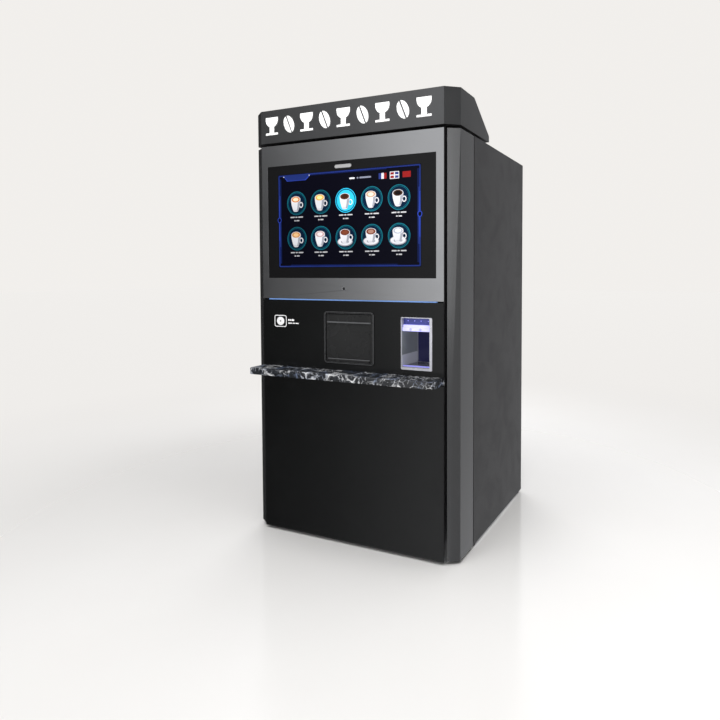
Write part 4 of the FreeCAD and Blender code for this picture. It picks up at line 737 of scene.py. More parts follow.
panel_black = finish("black_gloss_panel", (0.0042, 0.0046, 0.0046), (0.03, 0.03, 0.03), 0.15,
    grain=240.0, bump=0.015, smear=0.08, cloudy=0.15, sheen=0.30)
light_blue = finish("pale_blue_light", (0.12, 0.23, 0.50), (0.3, 0.5, 0.9), 0.35, grain=500.0,
    cloudy=0.25, glow=0.55)
dress(("middle_panel", "lower_panel"), panel_black, 0.0007)
dress(("light_strip",), light_blue, 0.0006)

# ---- stone shelf --------------------------------------------------------------------------------
# A slab of black marble with broken white and blue-grey veins, polished and eased along its top
# edge. It sits on a folded zinc bracket, bolted up from below.


def marble():
    """Black stone: wide broken veins, thin ones between them and pale clouds in the veins."""
    material, tree, shader = bare_material("black_marble")
    place = own_space(tree)
    warp = noise(tree, place, 14.0, 5.0)
    bent = wired(tree, "VectorMath", {0: warp.outputs["Color"], 1: (0.075, 0.075, 0.075), 2: place},
                 operation="MULTIPLY_ADD").outputs["Vector"]
    masks = []
    for scale, reach in ((19.0, 0.085), (46.0, 0.050)):
        cells = wired(tree, "TexVoronoi", {"Scale": scale, "Vector": bent},
                      feature="DISTANCE_TO_EDGE")
        vein = remap(tree, cells.outputs["Distance"], 0.0, reach, 1.0, 0.0)
        kept = remap(tree, noise(tree, place, scale * 0.9, 3.0).outputs["Fac"], 0.42, 0.54)
        masks.append(wired(tree, "Math", {0: vein, 1: kept}, operation="MULTIPLY").outputs["Value"])
    veins = wired(tree, "Math", dict(enumerate(masks)), operation="MAXIMUM").outputs["Value"]
    pale = ramp(tree, warp.outputs["Fac"], ((0.40, (0.16, 0.20, 0.30)), (0.55, (0.95, 0.96, 0.98))))
    cloud = noise(tree, place, 30.0, 6.0).outputs["Fac"]
    ground = ramp(tree, cloud, ((0.35, (0.004, 0.005, 0.006)), (0.75, (0.030, 0.034, 0.042))))
    smears = placed(tree, touch_group).outputs["Mask"]
    relief = wired(tree, "Bump", {"Strength": 0.05, "Distance": 0.0002, "Height": veins})
    plugged(tree, shader, {
        "Base Color": mixed(tree, veins, ground, pale), "Normal": relief.outputs["Normal"],
        "Roughness": remap(tree, smears, to_low=0.12, to_high=0.28),
        "Coat Weight": 0.5, "Coat Roughness": 0.04})
    return material


dress(("marble_shelf",), marble(), 0.0008)
dress(("shelf_bracket",), zinc, 0.0008)
plate_low, plate_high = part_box("shelf_bracket")
bolt_spots = [(x, plate_low.y + 0.022, plate_high.z - 0.006)
              for x in (-0.34, -0.17, 0.0, 0.17, 0.34)]
made("shelf_bolts", "door", "zinc", lambda shell: screw_heads(shell, bolt_spots, "-z", 0.006), zinc)

# ---- cup hatch ----------------------------------------------------------------------------------
# A moulded smoked frame with a smoked flap that swings up on a steel pin. A ribbed panel and two
# stops are moulded into the flap; a thin line runs round the frame's rim, lighter as a painted
# highlight.

smoked = finish("smoked_acrylic", (0.007, 0.007, 0.0075), (0.12, 0.12, 0.12), 0.14, grain=260.0,
    bump=0.03, smear=0.16, cloudy=0.3, sheen=0.35)
smoked_flap = finish("smoked_flap", (0.016, 0.0165, 0.0165), (0.16, 0.16, 0.16), 0.24, grain=150.0,
    bump=0.1, smear=0.2, cloudy=0.45, sheen=0.4)
# painted highlight: a lighter grey for the lines where the hatch's edges catch the light
painted_highlight_grey = finish("painted_highlight_rim", (0.16, 0.165, 0.17), (0.4, 0.4, 0.4), 0.3, metal=0.6,
    grain=500.0)
steel = finish("turned_steel", (0.56, 0.565, 0.57), (0.8, 0.8, 0.8), 0.22, metal=1.0, grain=420.0,
    bump=0.08)
dress(("hatch_frame",), smoked, 0.0014)
dress(("hatch_flap",), smoked_flap, 0.0010)
dress(("hatch_pin",), steel, 0.0)
hatch_low, hatch_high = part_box("hatch_frame")
flap_low, flap_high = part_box("hatch_flap")
HATCH_ROUND = 0.0150


def hatch_line(shell):
    """A raised bead just inside the frame's outer edge; its lighter grey is a painted highlight."""
    edges = (hatch_low.x, hatch_low.z, hatch_high.x, hatch_high.z)
    for inset, wide in ((0.0012, 0.0012), (0.0062, 0.0008)):
        outer_round = HATCH_ROUND - inset
        border(shell, edges, inset, wide, (outer_round, outer_round - wide), hatch_low.y - 0.0005,
               0.0006, 0, 8)


made("hatch_rim_line", "door", "smoked", hatch_line, painted_highlight_grey)


def flap_panel(shell):
    """Raised border, a thin bar and four stops on the flap's face."""
    face = flap_high.y - 0.0090
    left, right = flap_low.x + 0.010, flap_high.x - 0.010
    low, high = flap_low.z + 0.016, flap_high.z - 0.046
    border(shell, (left, low, right, high), 0.0, 0.003, (0.004, 0.003), face - 0.0008, 0.0010)
    border(shell, (left + 0.012, high - 0.030, right - 0.012, high - 0.0275), 0.0, 0.0005,
           (0.001, 0.0005), face - 0.0006, 0.0008, 0, 2)
    for x in (left + 0.006, right - 0.006):
        for z in (low + 0.030, high - 0.040):
            plate(shell, pad_loop(x, z, 0.0025, 0.007, 0.002, 3), face - 0.0016, 0.0018)


made("flap_mouldings", "flap", "smoked", flap_panel, smoked_flap, fold=0.0002)

# ---- hot water bay ------------------------------------------------------------------------------
# A white moulded liner with a dark mirror back and a spout in its roof. A lit cover glows lavender
# in front of the spout; a lip runs down the opening's right edge and along its foot, its bright
# colour a painted highlight. The side wall, the back and the floor edge carry painted light.

bay_white = finish("bay_white_moulding", (0.46, 0.47, 0.52), (0.7, 0.7, 0.7), 0.35, grain=300.0,
    cloudy=0.2)
dress(("bay_liner", "bay_nozzle"), bay_white, 0.0008)
dress(("bay_drip_grid",), steel, 0.0004)
bay_low, bay_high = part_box("bay_liner")
BAY_WALL, BAY_FLOOR = 0.0033, 0.0125
# painted light: the side panel is given a glow of its own, and its paler foot is the lower wall
# painted lighter where lamplight falls
bay_wall_painted_glow = finish("bay_side_panel_painted_glow", (0.17, 0.185, 0.195), (0.3, 0.3, 0.3), 0.28, grain=90.0,
    cloudy=0.5, coat=0.3, glow=0.22)
bay_wall_foot_painted_light = finish("bay_side_foot_painted_light", (0.36, 0.37, 0.42), (0.5, 0.5, 0.5), 0.28, grain=90.0,
    cloudy=0.3, glow=0.25)
# painted glow: the dark back is given a blue glow of its own, standing for lamplight on it
bay_mirror_painted_blue_glow = finish("bay_dark_mirror_painted_glow", (0.010, 0.010, 0.055), (0.03, 0.03, 0.09), 0.10, grain=60.0,
    cloudy=0.4, coat=0.6, glow=0.3)
# lavender for the small lamps and the cover's dimples; on the bay's floor edge it is a painted pool
# of lamplight
lavender = finish("lavender_lamps_and_painted_glow", (0.30, 0.30, 0.86), (0.5, 0.5, 0.9), 0.3, grain=70.0,
    cloudy=0.45, glow=0.45)
lit_cover = finish("lit_spout_cover", (0.42, 0.42, 0.80), (0.6, 0.6, 0.9), 0.16, grain=70.0,
    cloudy=0.7, coat=0.6, glow=0.5)
# painted glow: the dark recess round the small lamps is given a blue glow of its own, standing for
# their light
recess_painted_blue_glow = finish("lamp_recess_painted_blue_glow", (0.022, 0.028, 0.15), (0.1, 0.1, 0.5), 0.2, grain=50.0,
    cloudy=0.9, coat=0.4, glow=0.5)
# painted highlight: the lip is pale and faintly glowing where light would catch its right edge and
# foot
bay_lip_painted_highlight = finish("painted_highlight_bay_lip", (0.55, 0.55, 0.60), (0.8, 0.8, 0.8), 0.25, metal=0.3,
    grain=300.0, glow=0.12)


def bay_skins(shell):
    """Side panel with a painted glow and a paler foot of painted light, mirror at the back with a
    painted blue glow, and a lavender floor edge that is a painted pool of lamplight.
    """
    left, right = bay_low.x + BAY_WALL, bay_high.x - BAY_WALL
    front, back = bay_low.y, bay_high.y
    foot, step = bay_low.z + BAY_FLOOR, bay_low.z + BAY_FLOOR + 0.045
    slab(shell, (left, front + 0.002, step), (left + 0.0008, back - 0.006, bay_high.z - 0.055), 0)
    slab(shell, (left, front + 0.002, foot), (left + 0.0016, back - 0.006, step), 1)
    slab(shell, (left + 0.004, back - 0.0045, foot),
         (right - 0.001, back - 0.0037, bay_high.z - 0.072), 2)
    slab(shell, (left + 0.003, front + 0.004, foot - 0.0005),
         (right - 0.003, front + 0.020, foot + 0.0022), 3)


made("bay_skins", "door", "bay_white", bay_skins, bay_wall_painted_glow, bay_wall_foot_painted_light, bay_mirror_painted_blue_glow, lavender,
    fold=0.0003)


def spout_lamp(shell):
    """Clear lit cover with a ridge and two dimples below a dark recess with small lamps; the recess
    carries a painted blue glow.
    """
    left, right = bay_low.x + BAY_WALL + 0.001, bay_high.x - BAY_WALL - 0.001
    front, low, middle = bay_low.y + 0.006, bay_high.z - 0.056, bay_high.z - 0.030
    high, ridge = bay_high.z - BAY_WALL - 0.0008, middle - 0.011
    slab(shell, (left, front, low), (right, front + 0.045, ridge), 0)
    slab(shell, (left + 0.002, front + 0.002, ridge), (right - 0.002, front + 0.043, middle), 0)
    slab(shell, (left, front + 0.012, middle + 0.0004), (right, front + 0.045, high), 1)
    dimple = [(0, -0.0006), (0.006, -0.0006), (0.005, 0.0016), (0, 0.0024)]
    small_lamp = [(0, -0.0006), (0.0026, -0.0006), (0.0018, 0.0012), (0, 0.0016)]
    for shares, y, z, profile, turns in (((0.28, 0.62), front + 0.0005, low + 0.008, dimple, 20),
                                         ((0.15, 0.38, 0.60, 0.85), front + 0.0120, high - 0.010,
                                          small_lamp, 16)):
        for share in shares:
            lathe(shell, (left + share * (right - left), y, z), profile, "-y", turns, 2)


made("spout_lamp", "door", "bay_white", spout_lamp, lit_cover, recess_painted_blue_glow, lavender, fold=0.0008)


def bay_lip_bead(shell):
    """Rounded bead round the opening, broad on the right and at the foot; its pale colour is a
    painted highlight.
    """
    outer = rounded_loop(bay_low.x, bay_low.z - 0.001, bay_high.x + 0.001, bay_high.z + 0.001,
                         0.006)
    inner = rounded_loop(bay_low.x + 0.0008, bay_low.z + 0.008, bay_high.x - 0.0105,
                         bay_high.z - 0.0015, 0.005)
    ring_plate(shell, outer, inner, bay_low.y - 0.0009, 0.0010)


made("bay_lip_painted_highlight", "door", "bay_white", bay_lip_bead, bay_lip_painted_highlight, fold=0.0003)


def flap_bars(shell):
    """A half-round bar near the flap's top and a lighter edge on its grip, both in a painted
    highlight colour.
    """
    left, right, face = flap_low.x + 0.007, flap_high.x - 0.007, flap_low.y
    slab(shell, (left, face + 0.0002, flap_high.z - 0.0395),
         (right, face + 0.0050, flap_high.z - 0.0335))
    slab(shell, (left + 0.004, face - 0.0002, flap_low.z + 0.0085),
         (right - 0.004, face + 0.0030, flap_low.z + 0.0125))


made("flap_highlight_bars", "flap", "smoked", flap_bars, painted_highlight_grey, fold=0.0012)

# ---- code reader --------------------------------------------------------------------------------
# A dark window behind the panel, framed by a printed rounded square with a white disc in it. Two
# plain white bars stand beside it in place of wording.

window_low, window_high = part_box("scanner_window")
READER_X, READER_Z, INK = 0.0335, 0.0265, 0.0002
dress(("scanner_window",), glass, 0.0003)
# painted glow: the printed white is given a faint glow of its own, so it reads brighter than the
# lamps light it
printed_white_painted_glow = finish("printed_white_painted_glow", (0.80, 0.80, 0.81), (0.9, 0.9, 0.9), 0.4, grain=900.0,
    cloudy=0.06, glow=0.18)
printed_grey = finish("printed_grey", (0.16, 0.16, 0.165), (0.3, 0.3, 0.3), 0.4, grain=900.0,
    cloudy=0.06)


def reader_print(shell):
    """Rounded square, disc with a dark dot, and two rows of bars."""
    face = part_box("middle_panel")[0].y - 0.0003
    x, z = (window_low.x + window_high.x) / 2, (window_low.z + window_high.z) / 2
    edges = (x - READER_X, z - READER_Z, x + READER_X, z + READER_Z)
    border(shell, edges, 0.0, 0.0035, (0.010, 0.007), face, INK)
    plate(shell, oval_loop(x, z, 0.0205, 0.0185), face, INK)
    plate(shell, oval_loop(x, z, 0.0040, 0.0038, 24), face - 0.0003, INK, 1)
    start = x + READER_X + 0.008
    for rise, half, words in ((0.0055, 0.0042, ((0.0, 0.009), (0.0105, 0.0185), (0.020, 0.034))),
                              (-0.0085, 0.0024, ((0.0, 0.024), (0.0265, 0.038), (0.0405, 0.058)))):
        for left, right in words:
            plate(shell, rounded_loop(start + left, z + rise - half, start + right, z + rise + half,
                                      half * 0.8, 3), face, INK)


made("reader_print", "door", "white_sign", reader_print, printed_white_painted_glow, printed_grey, smooth=0)

# ---- hinges, latch and decks --------------------------------------------------------------------
# Plated strip and turned steel: two cranked hinges on pivot pins, and a sliding bar with headed
# studs worked by the key. Two stainless decks carry the works.

plated = finish("plated_strip", (0.46, 0.465, 0.47), (0.66, 0.66, 0.66), 0.30, metal=1.0,
    grain=260.0, stretch=(1.0, 1.0, 0.08), bump=0.12, cloudy=0.2)
deck_steel = finish("brushed_deck_steel", (0.50, 0.505, 0.51), (0.6, 0.6, 0.6), 0.42, metal=0.8,
    grain=420.0, stretch=(0.04, 1.0, 1.0), bump=0.03, smear=0.05, cloudy=0.06)
dress(("latch_bar",), plated, 0.0005)
dress(("latch_studs", "hinge_brackets", "door_pivots"), steel, 0.0004)
dress(("machine_deck", "upper_shelf"), deck_steel, 0.0006)
for deck in ("machine_deck", "upper_shelf"):
    deck_low, deck_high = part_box(deck)
    deck_spots = [(x, y, deck_high.z) for x in (deck_low.x + 0.02, deck_high.x - 0.02)
                  for y in (deck_low.y + 0.03, deck_high.y - 0.03)]
    made(f"{deck}_screws", "cabinet", "stainless",
         lambda shell: screw_heads(shell, deck_spots, "+z"), steel)
bar_low, bar_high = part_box("latch_bar")


def latch_guides(shell):
    """Two plastic guides on the door pan that the bar slides in."""
    for z in (bar_low.z + 0.10, (bar_low.z + bar_high.z) / 2, bar_high.z - 0.10):
        for x in (bar_low.x - 0.0070, bar_high.x + 0.0008):
            slab(shell, (x, bar_low.y - 0.0002, z - 0.02),
                 (x + 0.0040, bar_high.y + 0.0015, z + 0.02))


black_plastic = finish("black_moulded_plastic", (0.022, 0.022, 0.023), (0.07, 0.07, 0.07), 0.42,
    grain=700.0, bump=0.25, cloudy=0.15)
made("latch_guides", "door", "black_plastic", latch_guides, black_plastic, fold=0.0006)

# ---- cup store ----------------------------------------------------------------------------------
# Five thin clear tubes of stacked paper cups turn over a black dropper. The dropper lets one cup
# fall into the ring of a carriage that slides along a steel rail.

tube_plastic = finish("clear_cup_tube", (0.62, 0.66, 0.68), (0.8, 0.8, 0.8), 0.10, grain=300.0,
    bump=0.02, cloudy=0.06, coat=0.4, alpha=0.20)
paper = finish("white_cup_paper", (0.80, 0.78, 0.74), (0.9, 0.9, 0.9), 0.62, grain=500.0, bump=0.08,
    cloudy=0.05)
paper_band = finish("brown_cup_print", (0.22, 0.10, 0.045), (0.4, 0.25, 0.15), 0.6, grain=500.0,
    bump=0.08, cloudy=0.12)
dress(("cup_turret",), tube_plastic, 0.0)
dress(("cup_dropper", "cup_carrier"), black_plastic, 0.0010)
dress(("carrier_rail",), steel, 0.0008)
turret_low, turret_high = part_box("cup_turret")
TURRET_X, TURRET_Y, TUBE_ORBIT, TUBES = 0.359, -0.053, 0.084, 5
CUPS_LEFT = (20, 22, 17, 22, 12)
CUP_RIM, CUP_FOOT, CUP_TALL, NEST, CUP_BASE = 0.0355, 0.0255, 0.088, 0.0115, 0.008
BAND_LOW, BAND_HIGH = (CUP_FOOT + 0.0022, CUP_TALL * 0.28), (CUP_FOOT + 0.0062, CUP_TALL * 0.72)
SAME_SPOT = 0.000001


def paper_cup(shell, x, y, low, nested=0):
    """A tapered cup with a rolled rim; nested cups show as more rims above it."""
    outer = [(0, 0.004), (CUP_FOOT - 0.001, 0.004), (CUP_FOOT - 0.001, 0.0), (CUP_FOOT, 0.0),
             BAND_LOW]
    top = CUP_TALL - 0.003
    upper = [BAND_HIGH, (CUP_RIM - 0.0015, top)]
    for number in range(nested + 1):
        upper += [(CUP_RIM - 0.0004, top), (CUP_RIM, top + 0.0013),
                  (CUP_RIM - 0.0004, top + 0.0026), (CUP_RIM - 0.0016, top + 0.0028)]
        if number < nested:
            upper.append((CUP_RIM - 0.0026, top + NEST))
            top += NEST
    inner_top = top + 0.0010
    upper += [(CUP_RIM - 0.0022, inner_top), (CUP_FOOT, inner_top - CUP_TALL + CUP_BASE),
              (0, inner_top - CUP_TALL + CUP_BASE)]
    for profile, slot in ((outer, 0), ([BAND_LOW, BAND_HIGH], 1), (upper, 0)):
        lathe(shell, (x, y, low), profile, turns=40, slot=slot)


def around_turret(z):
    """The middle of each tube at a height."""
    angles = [-QUARTER_TURN + math.tau * number / TUBES for number in range(TUBES)]
    return [(TURRET_X + TUBE_ORBIT * math.cos(angle), TURRET_Y + TUBE_ORBIT * math.sin(angle), z)
            for angle in angles]


def cup_stacks(shell):
    for spot, cups in zip(around_turret(turret_low.z + 0.007), CUPS_LEFT):
        paper_cup(shell, *spot, cups)
    bmesh.ops.remove_doubles(shell, verts=shell.verts, dist=SAME_SPOT)


made("cup_stacks", "carousel", "bay_white", cup_stacks, paper, paper_band)

carrier_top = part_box("cup_carrier")[1].z


def waiting_cup(shell):
    paper_cup(shell, 0.0085, -0.137, carrier_top - 0.0297)
    bmesh.ops.remove_doubles(shell, verts=shell.verts, dist=SAME_SPOT)


made("waiting_cup", "carrier", "bay_white", waiting_cup, paper, paper_band)


def turret_bands(shell):
    """A steel band tying each tube near its top and a knob on the hub."""
    band = [(0.04206, 0), (0.0426, 0.0003), (0.0426, 0.0077), (0.04206, 0.008), (0.04206, 0)]
    knob = [(0, 0), (0.0130, 0), (0.0130, 0.003), (0.009, 0.005), (0.009, 0.014), (0.012, 0.018),
            (0.010, 0.022), (0, 0.023)]
    for spot in around_turret(turret_high.z - 0.060):
        lathe(shell, spot, band, turns=40)
    lathe(shell, (TURRET_X, TURRET_Y, turret_high.z), knob, turns=28)


made("turret_bands", "carousel", "stainless", turret_bands, steel)

# ---- powder side --------------------------------------------------------------------------------
# Three upright powder bins in milky plastic, each over a clear mixing bowl with a whipper motor
# behind it. A narrow window shows how full each one is.

milky = finish("milky_canister", (0.62, 0.60, 0.55), (0.75, 0.74, 0.7), 0.34, grain=260.0,
    bump=0.05, cloudy=0.07, coat=0.1)
clear_plastic = finish("clear_moulded_plastic", (0.72, 0.74, 0.76), (0.85, 0.85, 0.85), 0.10,
    grain=260.0, bump=0.03, cloudy=0.08, coat=0.4, alpha=0.20)
motor_grey = finish("grey_motor_plastic", (0.20, 0.205, 0.21), (0.35, 0.35, 0.35), 0.45,
    grain=600.0, bump=0.2)
dress(("powder_canisters",), milky, 0.0012)
dress(("mixing_bowls",), clear_plastic, 0.0)
dress(("whipper_motors",), motor_grey, 0.0008)
window_dark = finish("canister_window", (0.16, 0.16, 0.17), (0.4, 0.4, 0.4), 0.12, grain=200.0,
    coat=0.6)
powders = [finish(f"{name}_powder", colour, worn, 0.8, grain=1500.0, bump=0.6)
           for name, colour, worn in (("milk", (0.80, 0.72, 0.55), (0.9, 0.85, 0.7)),
                                      ("cocoa", (0.14, 0.055, 0.025), (0.2, 0.1, 0.05)),
                                      ("tea", (0.44, 0.22, 0.07), (0.5, 0.3, 0.1)))]
CANISTER_FRONT, CANISTER_TALL = -0.142, 0.282
WINDOW_HALF, POWDER_LEVELS = 0.009, (0.155, 0.105, 0.190)


def canister_fittings(shell):
    """Window with powder behind it and a lid grip on each bin."""
    proud, sunk = CANISTER_FRONT - 0.0008, CANISTER_FRONT + 0.0002
    for number, (low, high) in enumerate(loose_parts("powder_canisters")):
        middle, foot = (low.x + high.x) / 2, high.z - CANISTER_TALL
        level = foot + POWDER_LEVELS[number]
        for start, end, slot in ((foot + 0.035, level, 1 + number), (level, high.z - 0.045, 0)):
            slab(shell, (middle - WINDOW_HALF, proud, start), (middle + WINDOW_HALF, sunk, end),
                 slot)
        slab(shell, (middle - 0.020, CANISTER_FRONT + 0.030, high.z - 0.0002),
             (middle + 0.020, CANISTER_FRONT + 0.036, high.z + 0.009), 4)


made("canister_fittings", "cabinet", "canister", canister_fittings, window_dark, *powders, milky,
    fold=0.0004)


def motor_details(shell):
    """Cooling ring, end screw and two terminals on each whipper motor."""
    cap = [(0, -0.0002), (0.017, -0.0002), (0.017, 0.0022), (0.014, 0.003), (0.005, 0.003),
           (0.005, 0.006), (0, 0.006)]
    for low, high in loose_parts("whipper_motors"):
        x, rear, z = (low.x + high.x) / 2, high.y, low.z + 0.024
        lathe(shell, (x, rear, z), cap, "+y", 28)
        for left in (x - 0.008, x + 0.005):
            slab(shell, (left, rear - 0.0001, z + 0.010), (left + 0.003, rear + 0.008, z + 0.014))


made("motor_details", "cabinet", "black_plastic", motor_details, black_plastic, fold=0.0003)

# ---- coffee side --------------------------------------------------------------------------------
# Two clear bean hoppers with smoked hinged lids stand on black grinders. Below them the brewer
# presses the grounds with a steel piston.

smoked_lid = finish("smoked_lid", (0.05, 0.052, 0.055), (0.2, 0.2, 0.2), 0.12, grain=260.0,
    coat=0.5, alpha=0.62)
dress(("bean_hoppers",), clear_plastic, 0.0)
dress(("hopper_lid_left", "hopper_lid_right"), smoked_lid, 0.0005)
dress(("grinders", "brewer_body"), black_plastic, 0.0010)
dress(("brewer_piston",), steel, 0.0006)
bean_brown = finish("roast_bean", (0.075, 0.030, 0.014), (0.13, 0.06, 0.03), 0.34, grain=300.0,
    bump=0.3, cloudy=0.5, coat=0.3)
BEAN = (0.0055, 0.0042, 0.0032, 1.0)


def bean_fill(shell):
    """A heap of roast beans in each hopper: a solid core under a layer of single beans."""
    dice = random.Random(4)
    rows, columns = 17, 8
    for low, high in loose_parts("bean_hoppers"):
        low, high = low + Vector((0.006, 0.008, 0.008)), high - Vector((0.006, 0.016, 0.0))
        left, right, front, back = low.x, high.x, low.y, high.y - 0.008
        neck, core_top = low.z + 0.066, low.z + 0.105
        slab(shell, (left, front + 0.004, neck), (right, back - 0.004, core_top - 0.003))
        slab(shell, (left, front + 0.036, low.z + 0.002), (right, back - 0.036, neck))
        for row in range(rows):
            for column in range(columns):
                share_x = (column + dice.uniform(0.25, 0.75)) / columns
                share_y = (row + dice.uniform(0.25, 0.75)) / rows
                where = (Matrix.Translation((left + 0.006 + (right - left - 0.012) * share_x,
                                             front + 0.010 + (back - front - 0.020) * share_y,
                                             core_top + dice.uniform(-0.001, 0.003)))
                         @ Matrix.Rotation(dice.uniform(0, math.tau), 4, "Z")
                         @ Matrix.Rotation(dice.uniform(-0.5, 0.5), 4, "X")
                         @ Matrix.Diagonal(BEAN))
                bmesh.ops.create_icosphere(shell, subdivisions=1, radius=1.0, matrix=where)


made("hopper_beans", "cabinet", "black_plastic", bean_fill, bean_brown)
MARK_ORBIT = 0.0215


def grinder_dials(shell):
    """A grind-size dial with a pointer, a ring of marks and a grille on each grinder's front."""
    dial = [(0, -0.0002), (0.024, -0.0002), (0.024, 0.0014), (0.019, 0.002), (0.017, 0.010),
            (0.014, 0.012), (0, 0.0122)]
    dot = [(0, -0.0002), (0.0011, -0.0002), (0.0011, 0.0004), (0, 0.0004)]
    for low, high in loose_parts("grinders"):
        x, face, z = (low.x + high.x) / 2, low.y, low.z + 0.085
        lathe(shell, (x, face, z), dial, "-y", 36)
        slab(shell, (x - 0.0012, face - 0.0128, z + 0.002),
             (x + 0.0012, face - 0.0118, z + 0.014), 1)
        for step in range(9):
            angle = math.radians(-30 + 30 * step)
            lathe(shell, (x + MARK_ORBIT * math.cos(angle), face - 0.0014,
                          z + MARK_ORBIT * math.sin(angle)), dot, "-y", 10, 1)
        for step in range(4):
            foot = low.z + 0.016 + 0.007 * step
            slab(shell, (x - 0.030, face - 0.0012, foot),
                 (x + 0.030, face + 0.0002, foot + 0.003), 0)


# the dial's pointer and marks use the printed white, with its painted glow
made("grinder_dials", "cabinet", "black_plastic", grinder_dials, motor_grey, printed_white_painted_glow,
    fold=0.0003)

# ---- water --------------------------------------------------------------------------------------
# A copper boiler with welded bands, a brass pump with a wound coil, silicone hoses, and two
# ribbed bottles on the floor tray.

copper = finish("boiler_copper", (0.62, 0.30, 0.16), (0.85, 0.55, 0.4), 0.26, metal=1.0,
    grain=220.0, stretch=(1.0, 1.0, 0.1), bump=0.1, cloudy=0.3)
brass = finish("turned_brass", (0.62, 0.44, 0.18), (0.85, 0.7, 0.4), 0.26, metal=1.0, grain=240.0,
    cloudy=0.2)
silicone = finish("milky_silicone", (0.70, 0.68, 0.62), (0.8, 0.8, 0.8), 0.36, grain=500.0,
    cloudy=0.08)
bottle_plastic = finish("bottle_plastic", (0.20, 0.38, 0.62), (0.5, 0.6, 0.8), 0.14, grain=200.0,
    cloudy=0.12, coat=0.4, alpha=0.60)
dress(("boiler",), copper, 0.0)
dress(("water_pump", "water_inlet"), brass, 0.0005)
dress(("water_hoses",), silicone, 0.0)
dress(("water_bottles",), bottle_plastic, 0.0)
boiler_low, boiler_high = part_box("boiler")
boiler_x, boiler_y = (boiler_low.x + boiler_high.x) / 2, (boiler_low.y + boiler_high.y) / 2
boiler_r = (boiler_high.x - boiler_low.x) / 2


def boiler_bands(shell):
    """Two clamped steel bands and a thermostat on the boiler."""
    front = boiler_y - boiler_r
    for z in (boiler_low.z + 0.075, boiler_low.z + 0.185):
        band = [(boiler_r, 0), (boiler_r + 0.001, 0), (boiler_r + 0.001, 0.012), (boiler_r, 0.012),
                (boiler_r, 0)]
        lathe(shell, (boiler_x, boiler_y, z), band, turns=56)
        slab(shell, (boiler_x - 0.010, front - 0.009, z + 0.001),
             (boiler_x + 0.010, front - 0.0005, z + 0.011))
    lathe(shell, (boiler_x, front + 0.001, boiler_low.z + 0.135),
          [(0, 0), (0.013, 0), (0.013, 0.006), (0.008, 0.008), (0.008, 0.012), (0, 0.012)],
          "-y", 28)


made("boiler_bands", "cabinet", "stainless", boiler_bands, steel)
pump_low, pump_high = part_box("water_pump")
pump_y, pump_z, pump_r = (pump_low.y + pump_high.y) / 2, pump_high.z - 0.024, 0.024
COIL_PITCH = 0.006


def pump_coil(shell):
    """Square-edged coil of the pump, wound round its middle."""
    profile = [(pump_r, 0)]
    for turn in range(9):
        at = 0.001 + turn * COIL_PITCH
        profile += [(pump_r + 0.0030, at), (pump_r + 0.0040, at + 0.0015),
                    (pump_r + 0.0040, at + 0.0040), (pump_r + 0.0030, at + 0.0052)]
    profile += [(pump_r, 0.056), (pump_r, 0)]
    lathe(shell, (pump_low.x + 0.020, pump_y, pump_z), profile, "+x", 36)


made("pump_coil", "cabinet", "black_plastic", pump_coil, black_plastic)


def bottle_details(shell):
    """Blue screw cap and moulded hoops round each bottle."""
    cap = [(0, 0.0277), (0.0262, 0.0277), (0.0262, 0), (0.0285, 0), (0.0285, 0.026), (0.027, 0.030),
           (0, 0.030)]
    for low, high in loose_parts("water_bottles"):
        x, y, radius = (low.x + high.x) / 2, (low.y + high.y) / 2, (high.x - low.x) / 2
        inside, outside = radius - 0.0002, radius + 0.0016
        hoop = [(inside, -0.005), (outside, -0.002), (outside, 0.002), (inside, 0.005),
                (inside, -0.005)]
        lathe(shell, (x, y, high.z - 0.0275), cap, turns=40)
        for rise in (0.07, 0.13, 0.19, 0.25, 0.31):
            lathe(shell, (x, y, low.z + rise), hoop, turns=56, slot=1)


cap_blue = finish("blue_cap_plastic", (0.03, 0.09, 0.36), (0.1, 0.2, 0.5), 0.4, grain=500.0,
    bump=0.2)
made("bottle_details", "cabinet", "bottle", bottle_details, cap_blue, bottle_plastic)

# ---- waste bin ----------------------------------------------------------------------------------
# A black moulded bin with a front grip that slides forward under the brewer. Pressed coffee pucks
# lie in a heap on its floor.

dress(("waste_bin",), black_plastic, 0.0012)
grounds = finish("pressed_grounds", (0.045, 0.022, 0.012), (0.09, 0.05, 0.03), 0.85, grain=900.0,
    bump=0.9, cloudy=0.4)
bin_low, bin_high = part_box("waste_bin")
PUCK_PITCH_X, PUCK_PITCH_Y = 0.0600, 0.0620


def coffee_pucks(shell):
    """Two uneven layers of thick pucks, clear of the bin's rounded walls."""
    dice = random.Random(11)
    puck = [(0, 0), (0.0205, 0), (0.0222, 0.002), (0.0222, 0.0150), (0.0205, 0.0172), (0, 0.0176)]
    for level in range(2):
        for row in range(5 - level):
            for column in range(4 - level):
                x = bin_low.x + 0.046 + PUCK_PITCH_X * column + 0.030 * level
                x += dice.uniform(-0.004, 0.004)
                y = bin_low.y + 0.062 + PUCK_PITCH_Y * row + 0.030 * level
                y += dice.uniform(-0.004, 0.004)
                lathe(shell, (x, y, bin_low.z + 0.0052 + level * 0.0200), puck, turns=22)


made("coffee_pucks", "bin", "black_plastic", coffee_pucks, grounds)


def bin_ribs(shell):
    """Moulded ribs down the bin's sides."""
    for rise in (0.08, 0.16, 0.24, 0.32):
        for left, right in ((bin_low.x - 0.0012, bin_low.x + 0.0002),
                            (bin_high.x, bin_high.x + 0.0012)):
            slab(shell, (left, bin_low.y + rise, bin_low.z + 0.03),
                 (right, bin_low.y + rise + 0.008, bin_high.z - 0.02))


made("bin_ribs", "bin", "black_plastic", bin_ribs, black_plastic, fold=0.0004)

# ---- electrics, fan and supply connections ------------------------------------------------------
# Zinc boxes for control and power with vents and plugs. A black axial fan sits behind a wire
# guard in the back sheet, above the mains socket and the threaded water inlet.

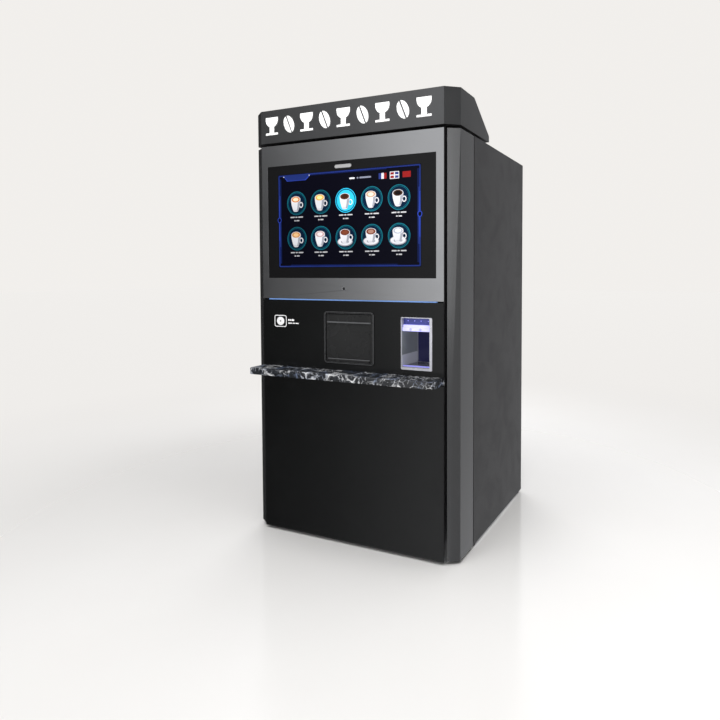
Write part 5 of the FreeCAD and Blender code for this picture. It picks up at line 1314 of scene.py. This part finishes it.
dress(("control_box", "power_supply"), zinc, 0.0010)
dress(("fan_frame", "fan_rotor", "mains_inlet"), black_plastic, 0.0006)
box_low, box_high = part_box("control_box")
supply_low, supply_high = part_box("power_supply")
fan_low, fan_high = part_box("fan_frame")


def box_vents(shell):
    """Louvres and plug rows on the control box and the supply."""
    face, inside = box_low.x, box_low.x + 0.0002
    for step in range(8):
        z = box_low.z + 0.04 + 0.012 * step
        slab(shell, (face - 0.0016, box_low.y + 0.04, z), (inside, box_high.y - 0.04, z + 0.005))
    for step in range(9):
        y = supply_low.y + 0.03 + 0.018 * step
        slab(shell, (supply_low.x + 0.02, y, supply_high.z - 0.0002),
             (supply_high.x - 0.02, y + 0.008, supply_high.z + 0.0016))
    for step in range(5):
        y, z = box_low.y + 0.045 + 0.042 * step, box_high.z - 0.060
        slab(shell, (face - 0.010, y, z), (inside, y + 0.026, z + 0.018), 1)
        slab(shell, (face - 0.016, y + 0.004, z + 0.003), (face - 0.009, y + 0.022, z + 0.015), 2)


plug_white = finish("white_plug_plastic", (0.75, 0.74, 0.70), (0.85, 0.85, 0.85), 0.45, grain=400.0)
made("box_vents", "cabinet", "zinc", box_vents, zinc, black_plastic, plug_white, fold=0.0005)
fan_x, fan_z = (fan_low.x + fan_high.x) / 2, (fan_low.z + fan_high.z) / 2
guard_face, SPOKE_MIDDLE = back_high.y - 0.0032, 0.031


def fan_guard(shell):
    """Concentric wires on a cross of two bars, with a round cap in the middle."""
    for radius in (0.014, 0.024, 0.034, 0.044, 0.0515):
        wire = [(radius - 0.0009, 0.0003), (radius - 0.0003, 0.0012), (radius + 0.0003, 0.0012),
                (radius + 0.0009, 0.0003), (radius - 0.0009, 0.0003)]
        lathe(shell, (fan_x, guard_face, fan_z), wire, "+y", 48)
    for angle in (45, 135):
        turn = math.radians(angle)
        for reach in (-SPOKE_MIDDLE, SPOKE_MIDDLE):
            place = (fan_x + reach * math.cos(turn), guard_face + 0.0003,
                     fan_z + reach * math.sin(turn))
            spoke = Matrix.Rotation(-turn, 4, "Y") @ Matrix.Diagonal((0.052, 0.0012, 0.0016, 1.0))
            bmesh.ops.create_cube(shell, size=1.0, matrix=Matrix.Translation(place) @ spoke)
    lathe(shell, (fan_x, guard_face, fan_z),
          [(0, 0), (0.010, 0), (0.010, 0.0012), (0.007, 0.0016), (0, 0.0016)], "+y", 32)


made("fan_guard", "cabinet", "stainless", fan_guard, steel)
